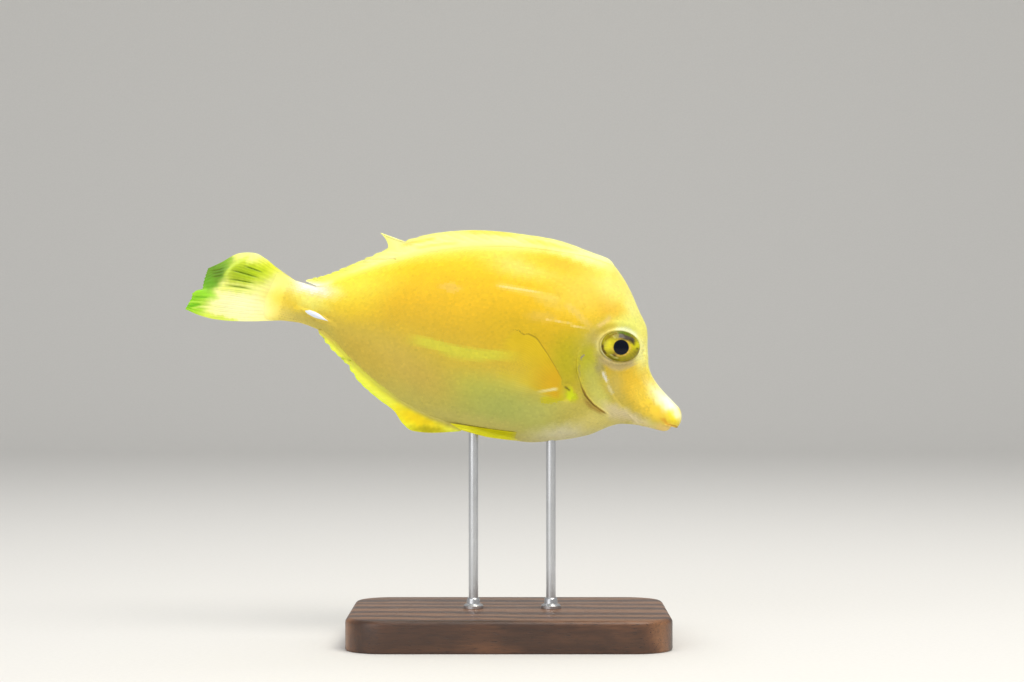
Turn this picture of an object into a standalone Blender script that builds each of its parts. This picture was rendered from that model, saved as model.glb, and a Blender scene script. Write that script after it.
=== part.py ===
"""Yellow tang: a still, life-size model of the fish, held by a plain display stand.

The fish is modelled in its own frame and then set at its pose. In that frame x runs from the root
of the tail fin towards the snout, y towards the fish's left side and z towards its back. The body
is one lofted shape, parted by thin cuts; each fin is a thin sheet of rays.
"""

import math

import bmesh
import bpy
import numpy as np
from mathutils import Vector

MM = 0.001

# Driving dimensions, in millimetres.
SNOUT_TIP = 129.8
STALK_END = -1.0
SNOUT_ROUNDING = 2.2
SNOUT_FLAT = 0.02
GAP = 0.3
POSE_AT = (-69.6, 0.0, 107.4)
NOSE_DOWN = math.radians(17.0)

# Back and belly lines of the flesh: (ahead of the tail root, above the body's axis).
BACK_LINE = (
    (-3.0, 7.7), (1.0, 6.3), (5.0, 5.9), (9.0, 6.9), (14.7, 11.0), (28.5, 21.3), (38.0, 27.4),
    (51.5, 33.3), (64.0, 37.0), (77.0, 39.4), (88.0, 40.5), (94.0, 40.3), (98.0, 37.9),
    (102.3, 33.9), (107.0, 28.4), (110.7, 24.1), (112.6, 18.6), (114.4, 13.6), (116.2, 10.8),
    (120.6, 7.2), (125.0, 4.7), (128.0, 3.1), (129.8, 2.4),
)
BELLY_LINE = (
    (-3.0, -7.3), (2.6, -6.5), (6.4, -5.9), (11.2, -6.2), (15.3, -7.4), (24.6, -12.8), (37.9, -18.6),
    (51.2, -21.9), (60.7, -22.7), (72.0, -22.4), (83.9, -21.2), (93.4, -17.9), (102.8, -13.2),
    (108.4, -8.7), (111.4, -6.9), (117.9, -5.5), (125.0, -5.1), (128.0, -4.3), (129.8, -3.4),
)
# Half the flesh's width, the level where it is widest, and how far back and belly are pinched.
HALF_WIDTH = (
    (-3.0, 2.1), (3.0, 2.5), (10.0, 3.0), (20.0, 4.4), (35.0, 6.7), (50.0, 8.6), (65.0, 9.9),
    (78.0, 10.6), (88.0, 10.8), (97.0, 10.3), (104.0, 9.1), (110.0, 7.2), (115.0, 5.3), (119.0, 4.1),
    (124.0, 3.4), (129.8, 2.6),
)
WIDEST_LEVEL = (
    (-3.0, 0.0), (20.0, 1.0), (50.0, 4.0), (80.0, 8.0), (98.0, 10.0), (108.0, 8.0), (114.0, 3.6),
    (120.0, 1.0), (129.8, -0.6),
)
BACK_PINCH = ((-3.0, 1.1), (20.0, 1.25), (60.0, 1.3), (92.0, 1.25), (106.0, 1.15), (120.0, 1.0))
BELLY_PINCH = ((-3.0, 1.1), (30.0, 1.25), (60.0, 1.2), (90.0, 1.1), (110.0, 1.0))

# Cuts that part the body, each along a line seen from the side.
HEAD_CUT = (
    (97.6, 46.0), (94.0, 32.0), (91.8, 20.0), (91.8, 11.0), (93.3, 5.0), (96.8, -0.4), (102.0, -3.6),
    (106.6, -8.0), (109.0, -14.0),
)
STALK_CUT = ((15.0, 18.0), (17.0, 0.0), (17.6, -14.0))
JAW_CUT = ((132.0, -2.6), (126.0, -2.8), (121.0, -3.4), (118.4, -5.4), (117.0, -9.0))
CUT_REACH = 14.0

# Edge of each folded fin over its base, and how far its rays lean back.
DORSAL_EDGE = (
    (3.6, 7.2), (10.0, 11.3), (14.7, 15.2), (19.2, 19.0), (24.0, 23.2), (28.5, 27.3), (38.2, 33.4),
    (51.5, 38.5), (63.8, 41.2), (77.4, 42.9), (86.0, 42.3), (93.6, 41.9), (96.2, 39.6),
)
DORSAL_BASE = (96.0, 9.6)
DORSAL_LEAN = (0.8, 5.8)
DORSAL_RAYS = 28
TORN_RAY_FROM = 27.4
TORN_RAY_TIP = (21.8, 28.4)
ANAL_EDGE = (
    (12.0, -6.9), (17.9, -11.2), (22.9, -13.6), (29.0, -18.4), (36.7, -21.9), (42.0, -23.8),
    (46.0, -26.9), (49.2, -28.4), (53.0, -27.8), (61.3, -25.0), (66.0, -22.9),
)
ANAL_BASE = (64.6, 14.9)
ANAL_LEAN = (0.8, 2.6)
ANAL_RAYS = 22
RAY_STEP = 0.45
FIN_ROOT = 1.6
FIN_HALF_BASE = 0.55
FIN_HALF_EDGE = 0.28

# Tail fin: a fan of rays, flat in the lower lobe, its upper lobe curled to the fish's left.
TAIL_ROOT_AT = STALK_END - GAP
TAIL_ROOT_HALF = 6.9
TAIL_LOBE = (-30.2, 12.8)
TAIL_FORK = 2.7
TAIL_FLARE = (2.0, 1.1)
TAIL_RAYS = 13
TAIL_HALF_ROOT = 2.0
CURL_APEX = (-13.0, 10.8)
CURL_TOWARDS = (-23.5, -6.9)
CURL_RADIUS = 4.0
CURL_ANGLE = math.radians(84.0)
CURL_FADE = (5.0, 18.5)

# Paired fins: first and last ray seen from the side, root first.
PECTORAL_FIRST = ((91.6, -0.2), (87.6, 3.6), (83.0, 7.6), (77.8, 11.4), (70.2, 11.6))
PECTORAL_LAST = ((93.6, -4.6), (89.0, -6.4), (83.6, -7.4), (78.0, -8.1), (72.6, -7.9))
PECTORAL_BULGE = 4.2
PECTORAL_LIFT = 1.9
PELVIC_FIRST = ((83.4, -18.4), (77.0, -19.6), (70.0, -20.8), (60.4, -22.3))
PELVIC_LAST = ((83.0, -21.3), (77.3, -22.4), (71.6, -23.2), (64.4, -23.4))
PELVIC_CLEAR = 2.15
PELVIC_LIFT = 0.5
PAIRED_HALF = 0.28
BODY_CLEAR = 0.35

# Eyes and the blades at the root of the tail.
EYE_AT = (104.4, 6.9, 16.3)
EYE_HALF = (6.45, 3.0, 4.95)
EYE_TILT = math.radians(-12.0)
BLADE_AT = (10.1, 2.7, -2.35)
BLADE_HALF = (4.4, 0.75, 0.85)
BLADE_TILT = math.radians(7.3)

# Stand.
BASE_SIZE = (100.0, 70.0, 10.0)
BASE_CORNER = 12.0
BASE_EDGE = 1.2
ROD_RADIUS = 1.5
ROD_FOOT = 3.0
RODS = {"stand_rod_front": (13.2, 69.5), "stand_rod_rear": (-11.2, 71.5)}
ROD_SIDES = 20

# Fineness of the solids.
BODY_RING = 24
BODY_STATIONS = 54
FRONT_CROWDING = 0.5
FIN_ROWS = 2
RAY_COLUMNS = 3
TAIL_GRID = (7, 27)
PAIRED_ROWS = 7
EYE_FINENESS = (20, 8)
BLADE_FINENESS = (10, 6)


def smooth_line(points):
    """A function through the points, smooth and without overshoot, the same at any spacing."""
    xs, ys = np.array(points, float).T
    step = np.diff(xs)
    slope = np.diff(ys) / step
    product = np.maximum(slope[:-1] * slope[1:], 0.0)
    total = slope[:-1] + slope[1:]
    inner = 2.0 * product / np.where(total == 0.0, 1.0, total)
    tangent = np.concatenate([[slope[0]], inner, [slope[-1]]])

    def value(x):
        x = np.clip(x, xs[0], xs[-1])
        i = np.clip(np.searchsorted(xs, x) - 1, 0, len(step) - 1)
        t = (x - xs[i]) / step[i]
        rise = ys[i] * (1 + 2 * t) * (1 - t) ** 2 + ys[i + 1] * t * t * (3 - 2 * t)
        lean = tangent[i] * t * (1 - t) ** 2 - tangent[i + 1] * t * t * (1 - t)
        return rise + step[i] * lean

    return value


def smooth_path(points, count):
    """Evenly spaced points along a smooth curve through the given side-view points."""
    points = np.array(points, float)
    along = np.concatenate([[0.0], np.cumsum(np.linalg.norm(np.diff(points, axis=0), axis=1))])
    at = np.linspace(0.0, along[-1], count)
    return np.stack([smooth_line(list(zip(along, points[:, k])))(at) for k in (0, 1)], axis=-1)


def smooth_step(low, high, x):
    t = np.clip((x - low) / (high - low), 0.0, 1.0)
    return t * t * (3.0 - 2.0 * t)


back = smooth_line(BACK_LINE)
belly = smooth_line(BELLY_LINE)
half_width = smooth_line(HALF_WIDTH)
widest = smooth_line(WIDEST_LEVEL)
back_pinch = smooth_line(BACK_PINCH)
belly_pinch = smooth_line(BELLY_PINCH)


def snout_cap(x):
    """Shrinks the last rings to round off the snout."""
    t = np.clip((x - (SNOUT_TIP - SNOUT_ROUNDING)) / SNOUT_ROUNDING, 0.0, 1.0)
    return np.sqrt(1.0 - t * t)


def body_ring(x, grow=0.0):
    """One cross-section of the flesh: pinched ellipses above and below its widest level."""
    angle = np.linspace(0.0, 2.0 * math.pi, BODY_RING, endpoint=False)
    level = widest(x)
    cap = snout_cap(x)
    above = np.sin(angle) > 0.0
    rise = np.where(above, back(x) - level, level - belly(x)) * cap + grow
    pinch = np.where(above, back_pinch(x), belly_pinch(x))
    side = np.sign(np.cos(angle)) * np.abs(np.cos(angle)) ** pinch
    wide = half_width(x) * cap + grow
    return np.stack([np.full(BODY_RING, x), wide * side, level + rise * np.sin(angle)], axis=-1)


def flank(x, z):
    """Half the flesh's width at a place seen from the side, and 0 outside it."""
    level = widest(x)
    above = z > level
    reach = np.where(above, back(x) - level, level - belly(x))
    t = np.minimum(np.abs(z - level) / reach, 1.0)
    pinch = np.where(above, back_pinch(x), belly_pinch(x))
    return half_width(x) * (1.0 - t * t) ** (pinch / 2.0)


def finish_mesh(name, bm, parent=None, sharp=math.radians(35.0)):
    """Makes an object from a closed bmesh in millimetres, with its faces pointing out."""
    bmesh.ops.recalc_face_normals(bm, faces=bm.faces)
    if bm.calc_volume(signed=True) < 0.0:
        bmesh.ops.reverse_faces(bm, faces=bm.faces)
    bmesh.ops.scale(bm, vec=(MM, MM, MM), verts=bm.verts)
    mesh = bpy.data.meshes.new(name)
    bm.to_mesh(mesh)
    bm.free()
    mesh.shade_smooth()
    mesh.set_sharp_from_angle(angle=sharp)
    obj = bpy.data.objects.new(name, mesh)
    bpy.context.scene.collection.objects.link(obj)
    obj.parent = parent
    return obj


def loft(name, rings, parent=None):
    """A closed solid through rings of equal length, its ends fanned to their middles."""
    bm = bmesh.new()
    rows = [[bm.verts.new(point) for point in ring] for ring in rings]
    count = len(rows[0])
    for first, second in zip(rows[:-1], rows[1:]):
        for i in range(count):
            j = (i + 1) % count
            bm.faces.new((first[i], first[j], second[j], second[i]))
    for ring, row in ((rings[0], rows[0]), (rings[-1], rows[-1])):
        middle = bm.verts.new(np.mean(ring, axis=0))
        for i in range(count):
            bm.faces.new((row[i], row[(i + 1) % count], middle))
    return finish_mesh(name, bm, parent)


def sheet(name, grid, half, parent=None):
    """A closed sheet about a grid of mid-surface points, as thick on each side as half says."""
    down = np.gradient(grid, axis=0)
    across = np.gradient(grid, axis=1)
    normal = np.cross(down, across)
    normal /= np.linalg.norm(normal, axis=-1, keepdims=True)
    bm = bmesh.new()
    sides = []
    for sign in (1.0, -1.0):
        points = grid + sign * normal * half[..., None]
        sides.append([[bm.verts.new(point) for point in row] for row in points])
    rows, columns = grid.shape[:2]
    for layer in sides:
        for i in range(rows - 1):
            for j in range(columns - 1):
                bm.faces.new((layer[i][j], layer[i][j + 1], layer[i + 1][j + 1], layer[i + 1][j]))
    rim = [(0, j) for j in range(columns)] + [(i, columns - 1) for i in range(1, rows)]
    rim += [(rows - 1, j) for j in range(columns - 2, -1, -1)] + [(i, 0) for i in range(rows - 2, 0, -1)]
    for (a, b), (c, d) in zip(rim, rim[1:] + rim[:1]):
        bm.faces.new((sides[0][a][b], sides[0][c][d], sides[1][c][d], sides[1][a][b]))
    return finish_mesh(name, bm, parent)


def carve(obj, other):
    """Cuts the other object's shape out of obj for good, and removes the other object."""
    modifier = obj.modifiers.new("cut", "BOOLEAN")
    modifier.operation = "DIFFERENCE"
    modifier.object = other
    bpy.context.view_layer.update()
    graph = bpy.context.evaluated_depsgraph_get()
    cut = bpy.data.meshes.new_from_object(obj.evaluated_get(graph))
    obj.modifiers.clear()
    obj.data = cut
    bpy.data.objects.remove(other)


def material(name, colour, roughness, metallic=0.0):
    """A plain finish, its colour given as sRGB in 0 to 255."""
    made = bpy.data.materials.new(name)
    made.use_nodes = True
    linear = [((c / 255.0 + 0.055) / 1.055) ** 2.4 for c in colour]
    shader = made.node_tree.nodes["Principled BSDF"]
    shader.inputs["Base Color"].default_value = (*linear, 1.0)
    shader.inputs["Roughness"].default_value = roughness
    shader.inputs["Metallic"].default_value = metallic
    made.diffuse_color = (*linear, 1.0)
    return made


def body_solid(name, parent, grow=0.0):
    """The whole flesh, with rings closer together towards the snout and the forehead."""
    along = np.linspace(0.0, 1.0, BODY_STATIONS)
    crowded = (1.0 + FRONT_CROWDING) * along - FRONT_CROWDING * along ** 2
    first = STALK_END - grow
    stations = first + (SNOUT_TIP - SNOUT_FLAT - first) * crowded
    return loft(name, [body_ring(x, grow) for x in stations], parent)


def cut_slab(name, line, parent):
    """A thin curved wall across the body along a line seen from the side."""
    path = smooth_path(line, 5 * len(line))
    grid = np.array([[(x, y, z) for x, z in path] for y in (-CUT_REACH, CUT_REACH)])
    return sheet(name, grid, np.full(grid.shape[:2], GAP / 2.0), parent)


def islands(mesh):
    """The separate closed bodies of a mesh, each as its own bmesh with the middle of its box."""
    source = bmesh.new()
    source.from_mesh(mesh)
    left = set(source.verts)
    groups = []
    while left:
        stack = [left.pop()]
        group = set(stack)
        while stack:
            for edge in stack.pop().link_edges:
                for vert in edge.verts:
                    if vert in left:
                        left.discard(vert)
                        group.add(vert)
                        stack.append(vert)
        groups.append({v.index for v in group})
    source.free()
    pieces = []
    for group in groups:
        piece = bmesh.new()
        piece.from_mesh(mesh)
        extra = [v for v in piece.verts if v.index not in group]
        bmesh.ops.delete(piece, geom=extra, context="VERTS")
        bmesh.ops.scale(piece, vec=(1 / MM, 1 / MM, 1 / MM), verts=piece.verts)
        xs = [v.co.x for v in piece.verts]
        pieces.append(((min(xs) + max(xs)) / 2.0, piece))
    return sorted(pieces, key=lambda item: item[0])


def make_flesh(parent):
    """Tail stalk, trunk, head and lower jaw, from one body parted by thin cuts."""
    whole = body_solid("whole_body", parent)
    for line in (HEAD_CUT, STALK_CUT, JAW_CUT):
        carve(whole, cut_slab("slab", line, parent))
    names = ("tail_stalk", "trunk", "head", "lower_jaw")
    made = {name: finish_mesh(name, piece, parent) for name, (_, piece) in zip(names, islands(whole.data))}
    bpy.data.objects.remove(whole)
    return made


def ray_steps(count, columns):
    """How far each column's end stands proud: a small step at each ray's tip."""
    phase = np.linspace(0.0, count, columns) % 1.0
    return RAY_STEP * (0.5 - np.abs(phase - 0.35))


def folded_fin(name, edge_points, base_line, base, lean, rays, sign, parent, torn=None):
    """A folded fin along the body's middle: rays leaning back from its base to its edge."""
    edge = smooth_line(edge_points)
    columns = rays * RAY_COLUMNS + 1
    root = np.linspace(base[0], base[1], columns)
    share = np.linspace(0.0, 1.0, columns)
    tip = root - lean[0] - (lean[1] - lean[0]) * smooth_step(0.0, 0.35, share)
    tip_z = edge(tip) + sign * ray_steps(rays, columns) * smooth_step(0.1, 0.5, share)
    if torn:
        at = int(np.argmin(np.abs(tip - torn[0])))
        tip[at], tip_z[at] = torn[1]
    root_z = base_line(root) - sign * FIN_ROOT
    grid = []
    half = []
    for k in range(FIN_ROWS + 1):
        t = k / FIN_ROWS
        grid.append(np.stack([root + (tip - root) * t, np.zeros(columns), root_z + (tip_z - root_z) * t], -1))
        half.append(np.full(columns, FIN_HALF_BASE + (FIN_HALF_EDGE - FIN_HALF_BASE) * t))
    fin = sheet(name, np.array(grid), np.array(half), parent)
    carve(fin, body_solid("near_body", parent, grow=GAP))
    return fin


def curl(x, z):
    """Rolls the tail's upper lobe away to the left, past a crease between two named points."""
    apex = np.array(CURL_APEX)
    along = np.array(CURL_TOWARDS) - apex
    along = along / np.linalg.norm(along)
    out = np.array((along[1], -along[0]))
    place = np.stack([x, z], axis=-1) - apex
    run = place @ along
    reach = np.maximum(place @ out, 0.0)
    angle = CURL_ANGLE * (1.0 - smooth_step(*CURL_FADE, run)) + 1e-4
    bent = np.minimum(reach / CURL_RADIUS, angle)
    rest = reach - bent * CURL_RADIUS
    flat = CURL_RADIUS * np.sin(bent) + rest * np.cos(bent)
    side = CURL_RADIUS * (1.0 - np.cos(bent)) + rest * np.sin(bent)
    shift = (flat - reach)[..., None] * out
    return np.stack([x + shift[..., 0], side, z + shift[..., 1]], axis=-1)


def make_tail_fin(parent):
    """The tail fin: a forked fan whose upper lobe is curled."""
    rows, columns = TAIL_GRID
    across = np.linspace(-1.0, 1.0, columns)
    t = np.linspace(0.0, 1.0, rows)[:, None]
    end_x = TAIL_LOBE[0] + TAIL_FORK * (1.0 - across ** 2)
    end_x = end_x + RAY_STEP / 2.0 * np.cos(across * math.pi * TAIL_RAYS)
    x = TAIL_ROOT_AT + (end_x - TAIL_ROOT_AT) * t
    flare = np.interp(across, (-1.0, 1.0), TAIL_FLARE) * np.sin(math.pi * t)
    z = (TAIL_ROOT_HALF + (TAIL_LOBE[1] - TAIL_ROOT_HALF) * t + flare) * across
    thick = FIN_HALF_EDGE + (TAIL_HALF_ROOT - FIN_HALF_EDGE) * (1.0 - smooth_step(0.0, 0.35, t)) \
        * np.sqrt(np.maximum(1.0 - across ** 2, 0.0))
    return sheet("tail_fin", curl(x, z), thick, parent)


def side_fin(name, first, last, bulge, lift, clear, sign, parent, columns=11):
    """A paired fin fanned between its first and last rays, lying just off the flank."""
    one = smooth_path(first, PAIRED_ROWS)
    two = smooth_path(last, PAIRED_ROWS)
    share = np.linspace(0.0, 1.0, columns)
    grid = one[:, None] * (1.0 - share)[None, :, None] + two[:, None] * share[None, :, None]
    t = np.linspace(0.0, 1.0, PAIRED_ROWS)[:, None]
    x = grid[..., 0] - bulge * t ** 2 * np.sin(math.pi * share)
    z = grid[..., 1]
    y = np.maximum(flank(x, z) + BODY_CLEAR + PAIRED_HALF, clear) + lift * t ** 2
    return sheet(name, np.stack([x, sign * y, z], axis=-1), np.full(x.shape, PAIRED_HALF), parent)


def spindle(name, at, half, tilt, fineness, sign, parent, grow=0.0):
    """An ellipsoid turned in the side view, for an eye or a blade."""
    bm = bmesh.new()
    bmesh.ops.create_uvsphere(bm, u_segments=fineness[0], v_segments=fineness[1], radius=1.0)
    for vert in bm.verts:
        x, z, y = vert.co
        x, y, z = x * (half[0] + grow), y * (half[1] + grow), z * (half[2] + grow)
        vert.co = (at[0] + x * math.cos(tilt) + z * math.sin(tilt), sign * at[1] + y,
                   at[2] - x * math.sin(tilt) + z * math.cos(tilt))
    return finish_mesh(name, bm, parent)


def make_pair(name, at, half, tilt, fineness, carrier, parent):
    """A left and a right piece, each let into its carrier with a thin gap round it."""
    made = {}
    for side, sign in (("left", 1.0), ("right", -1.0)):
        made[f"{name}_{side}"] = spindle(f"{name}_{side}", at, half, tilt, fineness, sign, parent)
        carve(carrier, spindle("socket", at, half, tilt, fineness, sign, parent, grow=GAP))
    return made


def rod(name, x, top, bottom, radius):
    """An upright round rod with a chamfered upper end."""
    angle = np.linspace(0.0, 2.0 * math.pi, ROD_SIDES, endpoint=False)
    rings = []
    for z, r in ((bottom, radius), (top - radius / 2.0, radius), (top, radius / 2.0)):
        rings.append(np.stack([x + r * np.cos(angle), r * np.sin(angle), np.full(ROD_SIDES, z)], -1))
    return loft(name, rings)


def make_base():
    """The flat foot: a slab with round corners and an eased upper edge."""
    bm = bmesh.new()
    bmesh.ops.create_cube(bm, size=1.0)
    bmesh.ops.scale(bm, vec=BASE_SIZE, verts=bm.verts)
    bmesh.ops.translate(bm, vec=(0.0, 0.0, BASE_SIZE[2] / 2.0), verts=bm.verts)
    upright = [e for e in bm.edges if abs((e.verts[0].co - e.verts[1].co).z) > 1.0]
    bmesh.ops.bevel(bm, geom=upright, offset=BASE_CORNER, segments=8, profile=0.5, affect="EDGES")
    upper = [e for e in bm.edges if all(v.co.z > BASE_SIZE[2] - 0.01 for v in e.verts)]
    bmesh.ops.bevel(bm, geom=upper, offset=BASE_EDGE, segments=2, profile=0.5, affect="EDGES")
    return finish_mesh("stand_base", bm)


def make_stand(trunk):
    """Base and rods, with a hole for each rod in the base and in the trunk."""
    made = {"stand_base": make_base()}
    for name, (x, top) in RODS.items():
        made[name] = rod(name, x, top, ROD_FOOT, ROD_RADIUS)
        for carrier in (made["stand_base"], trunk):
            carve(carrier, rod("hole", x, top + GAP, ROD_FOOT - GAP, ROD_RADIUS + GAP))
    return made


def dress(made):
    """Gives each piece its own plain finish."""
    flesh = (246, 214, 52)
    finishes = {
        "head": (flesh, 0.42, 0.0), "lower_jaw": ((240, 206, 70), 0.42, 0.0),
        "trunk": (flesh, 0.42, 0.0), "tail_stalk": ((250, 222, 84), 0.42, 0.0),
        "eye": ((198, 178, 40), 0.12, 0.0), "tail_spine": ((236, 238, 240), 0.25, 0.0),
        "dorsal_fin": ((248, 226, 60), 0.4, 0.0), "anal_fin": ((226, 220, 44), 0.4, 0.0),
        "tail_fin": ((196, 222, 48), 0.4, 0.0), "pectoral_fin": ((214, 196, 20), 0.35, 0.0),
        "pelvic_fin": ((196, 190, 60), 0.4, 0.0), "stand_base": ((74, 48, 32), 0.38, 0.0),
        "stand_rod": ((176, 178, 180), 0.28, 1.0),
    }
    for name, obj in made.items():
        key = next(k for k in finishes if name.startswith(k))
        obj.data.materials.clear()
        obj.data.materials.append(material(name, *finishes[key]))


def main():
    for obj in list(bpy.data.objects):
        bpy.data.objects.remove(obj)
    pose = bpy.data.objects.new("fish_pose", None)
    bpy.context.scene.collection.objects.link(pose)
    pose.location = Vector(POSE_AT) * MM
    pose.rotation_euler = (0.0, NOSE_DOWN, 0.0)
    bpy.context.view_layer.update()

    made = make_flesh(pose)
    made.update(make_pair("eye", EYE_AT, EYE_HALF, EYE_TILT, EYE_FINENESS, made["head"], pose))
    made.update(make_pair("tail_spine", BLADE_AT, BLADE_HALF, BLADE_TILT, BLADE_FINENESS,
                          made["tail_stalk"], pose))
    made["dorsal_fin"] = folded_fin("dorsal_fin", DORSAL_EDGE, back, DORSAL_BASE, DORSAL_LEAN,
                                    DORSAL_RAYS, 1.0, pose, torn=(TORN_RAY_FROM, TORN_RAY_TIP))
    made["anal_fin"] = folded_fin("anal_fin", ANAL_EDGE, belly, ANAL_BASE, ANAL_LEAN, ANAL_RAYS,
                                  -1.0, pose)
    made["tail_fin"] = make_tail_fin(pose)
    for side, sign in (("left", 1.0), ("right", -1.0)):
        name = f"pectoral_fin_{side}"
        made[name] = side_fin(name, PECTORAL_FIRST, PECTORAL_LAST, PECTORAL_BULGE, PECTORAL_LIFT, 0.0,
                              sign, pose)
        name = f"pelvic_fin_{side}"
        made[name] = side_fin(name, PELVIC_FIRST, PELVIC_LAST, 0.0, PELVIC_LIFT, PELVIC_CLEAR, sign,
                              pose, columns=5)
    made.update(make_stand(made["trunk"]))
    dress(made)


main()
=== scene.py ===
"""A yellow tang as a still, life-size painted model, held by two steel rods on a walnut base.

Lengths are millimetres in the fish's own frame, x ahead of the tail's root, y to the fish's left and z up,
until to_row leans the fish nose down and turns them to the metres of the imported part.
"""

import logging
import math
from collections.abc import Callable, Sequence
from dataclasses import dataclass
from enum import Enum

import bpy
import numpy as np
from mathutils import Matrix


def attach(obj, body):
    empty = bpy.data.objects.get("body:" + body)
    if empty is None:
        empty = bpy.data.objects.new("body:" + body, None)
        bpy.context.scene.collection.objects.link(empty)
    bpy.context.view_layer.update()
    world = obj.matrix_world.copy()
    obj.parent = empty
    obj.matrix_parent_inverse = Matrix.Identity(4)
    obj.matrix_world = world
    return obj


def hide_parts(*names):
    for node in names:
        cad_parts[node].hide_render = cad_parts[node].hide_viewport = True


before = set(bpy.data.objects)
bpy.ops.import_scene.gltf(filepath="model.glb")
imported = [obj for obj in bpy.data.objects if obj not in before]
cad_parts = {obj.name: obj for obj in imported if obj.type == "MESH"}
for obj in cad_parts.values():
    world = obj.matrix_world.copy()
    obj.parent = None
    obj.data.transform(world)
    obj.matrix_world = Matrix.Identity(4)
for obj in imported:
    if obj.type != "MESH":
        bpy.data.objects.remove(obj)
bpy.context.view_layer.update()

Array = np.ndarray
Point = tuple[float, float]
Line = tuple[Point, ...]
Curve = Callable[[Array], Array]

MM = 0.001
FISH_AT = (-69.6, 0.0, 107.4)
NOSE_DOWN = math.radians(17.0)
COAT_DEPTH = 0.15
TINY = 1e-6
log = logging.getLogger("yellow_tang")


class Side(Enum):
    """The fish's two sides, by the sign of y."""

    LEFT = 1.0
    RIGHT = -1.0


def smooth_line(points: Line) -> Curve:
    """Makes a smooth function through points, without overshoot.

    Args:
        points: places and values, with the places in rising order.

    Returns:
        The function, flat beyond its first and last points.
    """
    xs, ys = np.array(points, float).T
    step = np.diff(xs)
    slope = np.diff(ys) / step
    product = np.maximum(slope[:-1] * slope[1:], 0.0)
    total = slope[:-1] + slope[1:]
    inner = 2.0 * product / np.where(total == 0.0, 1.0, total)
    tangent = np.concatenate([[slope[0]], inner, [slope[-1]]])

    def value(x: Array) -> Array:
        """The curve's value at x.

        Args:
            x: where the value is wanted.

        Returns:
            The value at each place.
        """
        x = np.clip(x, xs[0], xs[-1])
        i = np.clip(np.searchsorted(xs, x) - 1, 0, len(step) - 1)
        t = (x - xs[i]) / step[i]
        rise = ys[i] * (1 + 2 * t) * (1 - t) ** 2 + ys[i + 1] * t * t * (3 - 2 * t)
        lean = tangent[i] * t * (1 - t) ** 2 - tangent[i + 1] * t * t * (1 - t)
        return rise + step[i] * lean

    return value


def path_at(points: Line, share: Array) -> Array:
    """Points at these shares of the way along a smooth path seen from the side.

    Args:
        points: the path's points.
        share: shares of the way along it.

    Returns:
        One place for each share.
    """
    path = np.array(points, float)
    along = np.concatenate([[0.0], np.cumsum(np.linalg.norm(np.diff(path, axis=0), axis=1))])
    at = share * along[-1]
    return np.stack([smooth_line(tuple(zip(along, path[:, k])))(at) for k in (0, 1)], axis=-1)


def smooth_step(low: float, high: float, x: Array) -> Array:
    """A soft rise from 0 at low to 1 at high."""
    t = np.clip((x - low) / (high - low), 0.0, 1.0)
    return t * t * (3.0 - 2.0 * t)


def hump(x: Array, middle: float, width: float) -> Array:
    """A soft bump of height 1 around a middle."""
    return np.exp(-(((x - middle) / width) ** 2))


def oval_reach(x: Array, z: Array, at: Point, half: Point, tilt: float) -> Array:
    """Measures places against a tilted oval.

    Args:
        x: how far ahead each place is.
        z: how high each place is.
        at: the oval's middle.
        half: half its length and half its height.
        tilt: its angle, in radians.

    Returns:
        The distance from its middle, 1 at its edge.
    """
    dx, dz = x - at[0], z - at[1]
    c, s = math.cos(tilt), math.sin(tilt)
    return np.hypot((dx * c + dz * s) / half[0], (dz * c - dx * s) / half[1])


def between_ends(share: Array, start: float, end: float) -> Array:
    """A line's strength along it: 1 from start to end, and fading to 0 at its ends."""
    return smooth_step(0.0, start, share) * (1.0 - smooth_step(end, 1.0, share))


def path_reach(x: Array, z: Array, path: Array) -> tuple[Array, Array]:
    """Measures places against a path seen from the side.

    Args:
        x: how far ahead each place is.
        z: how high each place is.
        path: the path's points.

    Returns:
        The distance from the path, positive on its left, and the share along it.
    """
    best = np.full(x.shape, np.inf)
    sign = np.ones(x.shape)
    share = np.zeros(x.shape)
    for i, (a, b) in enumerate(zip(path[:-1], path[1:])):
        run = b - a
        t = np.clip(((x - a[0]) * run[0] + (z - a[1]) * run[1]) / (run @ run), 0.0, 1.0)
        dx = x - a[0] - t * run[0]
        dz = z - a[1] - t * run[1]
        away = np.hypot(dx, dz)
        near = away < best
        best = np.where(near, away, best)
        sign = np.where(near, np.where(run[0] * dz > run[1] * dx, 1.0, -1.0), sign)
        share = np.where(near, (i + t) / (len(path) - 1), share)
    return best * sign, share


def to_row(points: Array) -> Array:
    """Turns points of the fish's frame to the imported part's metres.

    Args:
        points: places in the fish's frame, in millimetres.

    Returns:
        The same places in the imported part.
    """
    x, y, z = np.moveaxis(points, -1, 0)
    ahead = x * math.cos(NOSE_DOWN) + z * math.sin(NOSE_DOWN)
    up = z * math.cos(NOSE_DOWN) - x * math.sin(NOSE_DOWN)
    return (np.stack([ahead, y, up], axis=-1) + FISH_AT) * MM


def srgb(colour: str) -> Array:
    """A hex colour as three sRGB shares."""
    return np.array([int(colour[i:i + 2], 16) for i in (1, 3, 5)]) / 255.0


def linear(colour: Array) -> Array:
    """Turns sRGB shares to linear light."""
    colour = np.clip(colour, 0.0, 1.0)
    return np.where(colour <= 0.04045, colour / 12.92, ((colour + 0.055) / 1.055) ** 2.4)


def rgba(colour: str) -> tuple[float, float, float, float]:
    """A hex colour as a linear colour for a socket."""
    return (*linear(srgb(colour)), 1.0)


# Meshes


def select_only(obj: bpy.types.Object) -> None:
    """Leaves just this object selected and active.

    Args:
        obj: the object.
    """
    bpy.ops.object.select_all(action="DESELECT")
    obj.select_set(True)
    bpy.context.view_layer.objects.active = obj


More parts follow.
